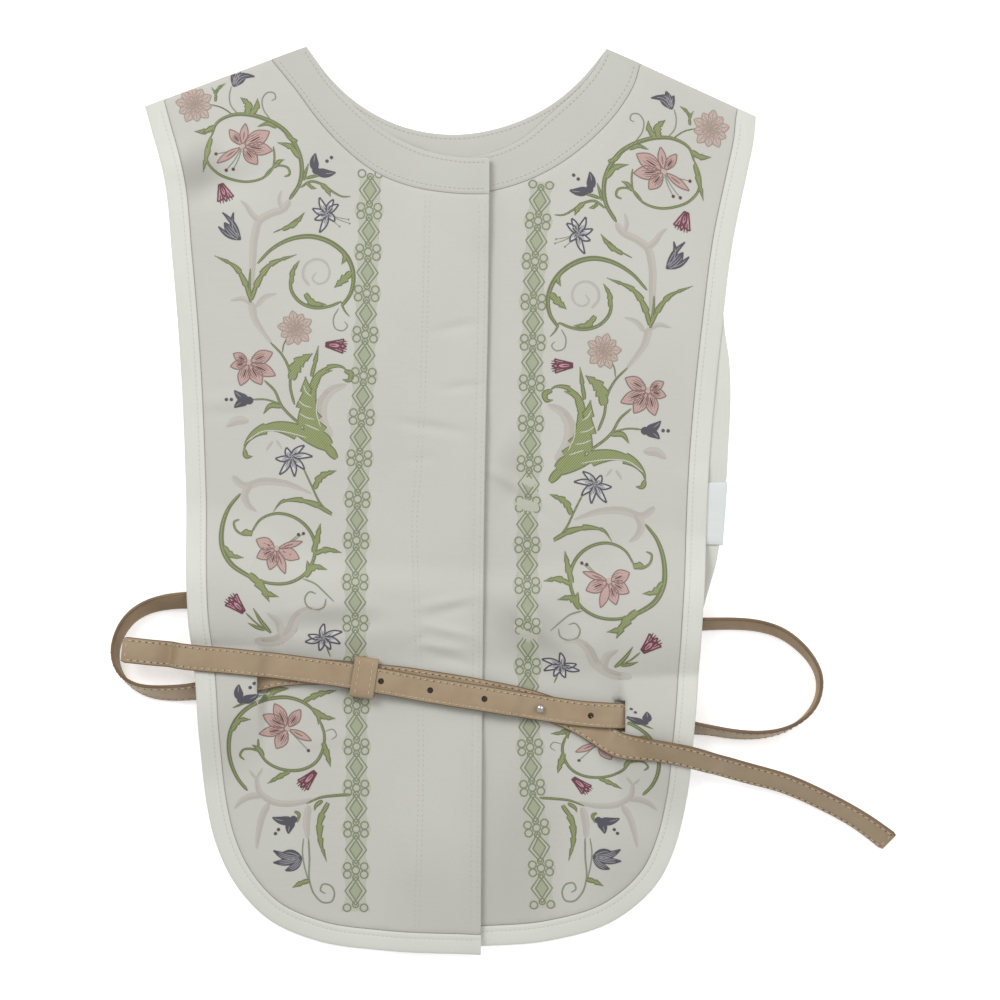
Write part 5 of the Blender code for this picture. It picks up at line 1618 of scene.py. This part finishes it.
def shoulder_point(tip, neck, distance):
    """The point of a shoulder seam at a distance from its tip."""
    tip, neck = np.array(tip), np.array(neck)
    return tip + (neck - tip) * distance / np.linalg.norm(neck - tip)


def paired(rows, step):
    """Neck edge and seam of a neckband, with as many points each."""
    count = round(length_along(np.array([neck for neck, _ in rows]))[-1] / step) + 1
    return tuple(evenly(smooth_line([row[i] for row in rows], step), count) for i in (0, 1))


def evenly(line, count):
    """The same line with a given number of evenly spaced points."""
    at = length_along(line[:, :2])
    where = np.linspace(0.0, at[-1], count)
    return np.column_stack([np.interp(where, at, line[:, i]) for i in range(line.shape[1])])


def binding_edges(side, inwards, neck_end):
    """Outer and inner edge of a front's binding. Inwards is 1 or -1, for its side."""
    outer = smooth_line(side, BAND_STEP)
    inner = moved_sideways(outer, inwards * BINDING_WIDTH)
    inner[0] = shoulder_point(outer[0], neck_end, BINDING_WIDTH)
    return outer, inner


def slit_outline(at, direction):
    half = BELT_WIDTH / 2 + SLIT_SPARE
    x0, x1 = at[0], at[0] + direction * SLIT_WIDTH
    low, high = at[1] - half, at[1] + half
    return np.array([(x0, low), (x1, low), (x1, high), (x0, high)])


def panel_outline(side, inwards, rows, centre_edge):
    """A front inside its binding, its neckband's seam and its centre edge."""
    neck_end = rows[0][1]
    outer, inner = binding_edges(side, inwards, neck_end)
    inner = moved_sideways(inner, inwards * SEAM)
    seam = paired(rows, BAND_STEP)[1]
    seam = moved_sideways(seam, -inwards * SEAM)
    inner[0] = shoulder_point(outer[0], neck_end, BINDING_WIDTH + SEAM)
    centre = smooth_line(centre_edge, OUTLINE_STEP)
    centre = centre[(centre[:, 1] > inner[-1, 1] + 1.0) & (centre[:, 1] < seam[-1, 1] - 1.0)]
    return np.concatenate([inner, centre[::-1], seam[::-1]])


# Gap between a panel and the band sewn to it
SEAM = 0.12
# Share of the width and thickness across a binding from its folded outer edge, and across
# a neckband from the neck edge
BINDING_ROUND = [
    (0.0, 0.5), (0.012, 0.95), (0.035, 1.28), (0.08, 1.5), (0.2, 1.62), (0.4, 1.66), (0.6, 1.62),
    (0.7, 1.52), (0.735, 1.4), (0.77, 1.5), (0.88, 1.58), (0.95, 1.5), (0.985, 1.3), (1.0, 0.9),
]
NECK_ROUND = [
    (0.0, 0.5), (0.012, 0.95), (0.035, 1.25), (0.08, 1.42), (0.125, 1.36), (0.17, 1.5),
    (0.35, 1.6), (0.6, 1.58), (0.78, 1.5), (0.865, 1.34), (0.905, 1.46), (0.96, 1.36), (1.0, 0.95),
]


def thinner(profile, wall):
    """A profile whose greatest thickness is a given wall."""
    most = max(h for _, h in profile)
    return [(share, h * wall / most) for share, h in profile]


def make_back(looks):
    side = smooth_line(BACK_LEFT_SIDE, BAND_STEP)
    other = smooth_line(BACK_RIGHT_SIDE, BAND_STEP)
    outer = np.concatenate([side, other[::-1][1:]])
    inner = moved_sideways(outer, BINDING_WIDTH)
    for end in (0, -1):
        inner[end] = shoulder_point(outer[end], NECK_BACK[end][1], BINDING_WIDTH)
    line = moved_sideways(inner, SEAM)
    for end in (0, -1):
        line[end] = shoulder_point(outer[end], NECK_BACK[end][1], BINDING_WIDTH + SEAM)
    profile = thinner(BINDING_ROUND, BAND_WALL_BACK)
    edge = long_band("back_edge_binding", outer, inner, on_surface, profile, looks["binding"])
    neck, seam = paired(NECK_BACK, BAND_STEP)
    profile = thinner(NECK_ROUND, BAND_WALL_BACK)
    band = long_band("back_collar_band", neck, seam, on_surface, profile, looks["neckband"])
    outline = np.concatenate([line, moved_sideways(seam, -SEAM)[::-1]])
    cloth = cloth_panel(
        "back_cloth", [outline], on_surface, BACK_WALL, BACK_CLOTH_STEP, looks["back_cloth"]
    )
    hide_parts("back_binding")
    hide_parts("back_neck_band")
    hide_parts("back_panel")
    return cloth, band, edge


def make_front(side_name, side, inwards, rows, centre_edge, slit, under, looks):
    neck_end = rows[0][1]
    outer, inner = binding_edges(side, inwards, neck_end)
    edge = long_band(side_name + "_edge_binding", outer, inner, under, BINDING_ROUND, looks["binding"])
    neck, seam = paired(rows, BAND_STEP)
    band = long_band(side_name + "_collar_band", neck, seam, under, NECK_ROUND, looks["neckband"])
    outline = panel_outline(side, inwards, rows, centre_edge)
    cloth = cloth_panel(
        side_name + "_front_cloth", [outline, slit], under, FRONT_WALL, CLOTH_STEP, looks["cloth"]
    )
    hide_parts("binding_" + side_name)
    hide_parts("neck_band_" + side_name)
    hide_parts(f"front_{side_name}_panel")
    return cloth, band, edge


def make_label(looks):
    x0, x1, y0, y1 = (LABEL[side] for side in ("left", "right", "low", "high"))
    outline = np.array([(x0, y0), (x1 - LABEL["skew"], y0), (x1, y1), (x0, y1)])
    label = cloth_panel(
        "blank_label", [outline], lambda x, y: on_surface(x, y) + BAND_WALL_BACK + GAP,
        LABEL["wall"] * LABEL["share"], CLOTH_STEP, looks["label"],
    )
    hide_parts("care_label")
    return label


# Cross-section of the belt, across its width and up from its middle plane, outer face first
BELT_SECTION = [
    (-7.35, 1.1), (-6.3, 1.07), (-5.6, 0.98), (-4.9, 1.08), (-2.5, 1.1), (0.0, 1.1), (2.5, 1.1),
    (4.9, 1.08), (5.6, 0.98), (6.3, 1.07), (7.35, 1.1), (7.8, 0.85), (8.0, 0.3), (8.0, -0.3),
    (7.8, -0.85), (7.35, -1.1), (4.0, -1.1), (0.0, -1.1), (-4.0, -1.1), (-7.35, -1.1),
    (-7.8, -0.85), (-8.0, -0.3), (-8.0, 0.3), (-7.8, 0.85),
]
TOP_FACES, EDGE_FACES = 10, 5
TIP_LENGTH, TIP_NARROWING = 0.35, 0.12


def whole_belt_line():
    """The belt's middle from its free end on the left to its tip at the lower right."""
    under, top = under_strap_line(), top_strap_line()
    hidden = [
        standing(smooth_line(rows, STRAP_STEP))[1:]
        for rows in (RIGHT_STRAND, RIGHT_LOOP, BACK_STRAND, LEFT_LOOP, LEFT_STRAND)
    ]
    line = np.concatenate([top, *hidden, under[1:]])
    at = length_along(line)
    where = np.linspace(0.0, at[-1], round(at[-1] / LEATHER_STEP) + 1)
    fine = np.column_stack([np.interp(where, at, line[:, i]) for i in range(4)])
    kernel = np.array([1.0, 2.0, 3.0, 2.0, 1.0]) / 9.0
    for i in range(4):
        fine[2:-2, i] = np.convolve(fine[:, i], kernel, mode="valid")
    return fine


def belt_axes(line):
    """For each point: the direction along, across to the left, and out of the stitched face."""
    along = np.gradient(line[:, :3], axis=0)
    along /= np.linalg.norm(along, axis=1)[:, None]
    roll = np.radians(line[:, 3])[:, None]
    left = np.stack([-along[:, 1], along[:, 0], np.zeros(len(line))], axis=1)
    left /= np.linalg.norm(left, axis=1)[:, None]
    face = np.cos(roll) * np.cross(along, left) - np.sin(roll) * left
    across = np.cross(face, along)
    return along, across, face


def make_belt(looks):
    line = whole_belt_line()
    _, across, face = belt_axes(line)
    section = np.array(BELT_SECTION)
    rows, count = len(line), len(section)
    # the belt is a little narrower at its very ends
    at = length_along(line)
    end = np.minimum(at, at[-1] - at)
    narrow = 1.0 - np.exp(-end / TIP_LENGTH) * TIP_NARROWING
    points = (
        line[:, None, :3]
        + across[:, None, :] * (section[None, :, :1] * narrow[:, None, None])
        + face[:, None, :] * section[None, :, 1:2]
    )
    uv = np.stack(np.broadcast_arrays(at[:, None], section[None, :, 0]), axis=2)
    faces, slots = [], []
    for i in range(rows - 1):
        for j in range(count):
            a, b = i * count + j, i * count + (j + 1) % count
            faces.append((a, b, b + count, a + count))
            edge = TOP_FACES <= j < TOP_FACES + EDGE_FACES or j >= count - EDGE_FACES + 1
            slots.append(0 if j < TOP_FACES else (2 if edge else 1))
    faces += [tuple(range(count))[::-1], tuple((rows - 1) * count + j for j in range(count))]
    slots += [2, 2]
    leathers = [looks["leather"], looks["leather_back"], looks["leather_edge"]]
    belt = add_mesh("leather_belt", points.reshape(-1, 3), faces, leathers, uv.reshape(-1, 2))
    belt.data.polygons.foreach_set("material_index", slots)
    outward(belt)
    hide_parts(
        "belt_top_strap", "belt_right_loop", "belt_back_strap", "belt_left_loop",
        "belt_under_strap",
    )
    return belt, line


WHITE = (1.0, 1.0, 1.0, 1.0)
FLOOR_SIZE, FLOOR_TONE, FLOOR_GLOW = 6.0, 0.94, 0.45
CAMERA_SENSOR, CAMERA_LENS, CAMERA_HEIGHT = 36.0, 110.0, 1.8975
STUDIO_LIGHT = 0.5
# Name, place in metres, size in metres and power in watts
SOFT_BOXES = [
    ("soft_box_left", (-0.85, 0.9, 1.45), 0.8, 13.8), ("soft_box_right", (1.1, 0.5, 1.35), 1.2, 9.9),
]


def make_floor():
    bpy.ops.mesh.primitive_plane_add(size=FLOOR_SIZE, location=(0.0, 0.0, 0.0))
    floor = bpy.context.active_object
    floor.name = "floor"
    look = Look("white_paper", 0.9)
    look.shader.inputs["Base Color"].default_value = (FLOOR_TONE, FLOOR_TONE, FLOOR_TONE, 1.0)
    look.shader.inputs["Emission Color"].default_value = WHITE
    look.shader.inputs["Emission Strength"].default_value = FLOOR_GLOW
    floor.data.materials.append(look.material)


def make_camera():
    camera = bpy.data.cameras.new("camera")
    camera.sensor_width = CAMERA_SENSOR
    camera.lens = CAMERA_LENS
    holder = bpy.data.objects.new("camera", camera)
    bpy.context.scene.collection.objects.link(holder)
    holder.location = (-CENTRE_X * MM, -CENTRE_Y * MM, CAMERA_HEIGHT)
    bpy.context.scene.camera = holder


def make_lights():
    world = bpy.data.worlds.new("studio")
    world.use_nodes = True
    back = world.node_tree.nodes["Background"]
    back.inputs["Color"].default_value = WHITE
    back.inputs["Strength"].default_value = STUDIO_LIGHT
    bpy.context.scene.world = world
    for name, place, size, power in SOFT_BOXES:
        light = bpy.data.lights.new(name, "AREA")
        light.size = size
        light.energy = power
        holder = bpy.data.objects.new(name, light)
        bpy.context.scene.collection.objects.link(holder)
        holder.location = place
        holder.rotation_euler = (-Vector(place)).to_track_quat("-Z", "Y").to_euler()


def main():
    clear_selection()
    looks = make_looks()
    back = make_back(looks)
    left = make_front(
        "left", LEFT_SIDE, 1, NECK_LEFT, PLACKET_EDGE, slit_outline(LEFT_SLIT_AT, 1),
        left_under, looks,
    )
    hidden = [(HIDDEN_EDGE_X, y) for y in HIDDEN_EDGE_ROWS]
    right = make_front(
        "right", RIGHT_SIDE, -1, NECK_RIGHT, hidden, slit_outline(RIGHT_SLIT_AT, -1),
        front_under, looks,
    )
    label = make_label(looks)
    needlework = make_needlework({"left": left[0], "right": right[0]}, looks)
    sewing = make_cloth_stitches({"left": left, "right": right, "back": back}, looks)
    belt, line = make_belt(looks)
    drill_belt(belt, looks)
    make_belt_stitches(line, looks)
    make_keeper(looks)
    make_stud(looks)
    make_floor()
    make_camera()
    make_lights()
    bpy.context.scene.view_settings.view_transform = "Standard"


main()
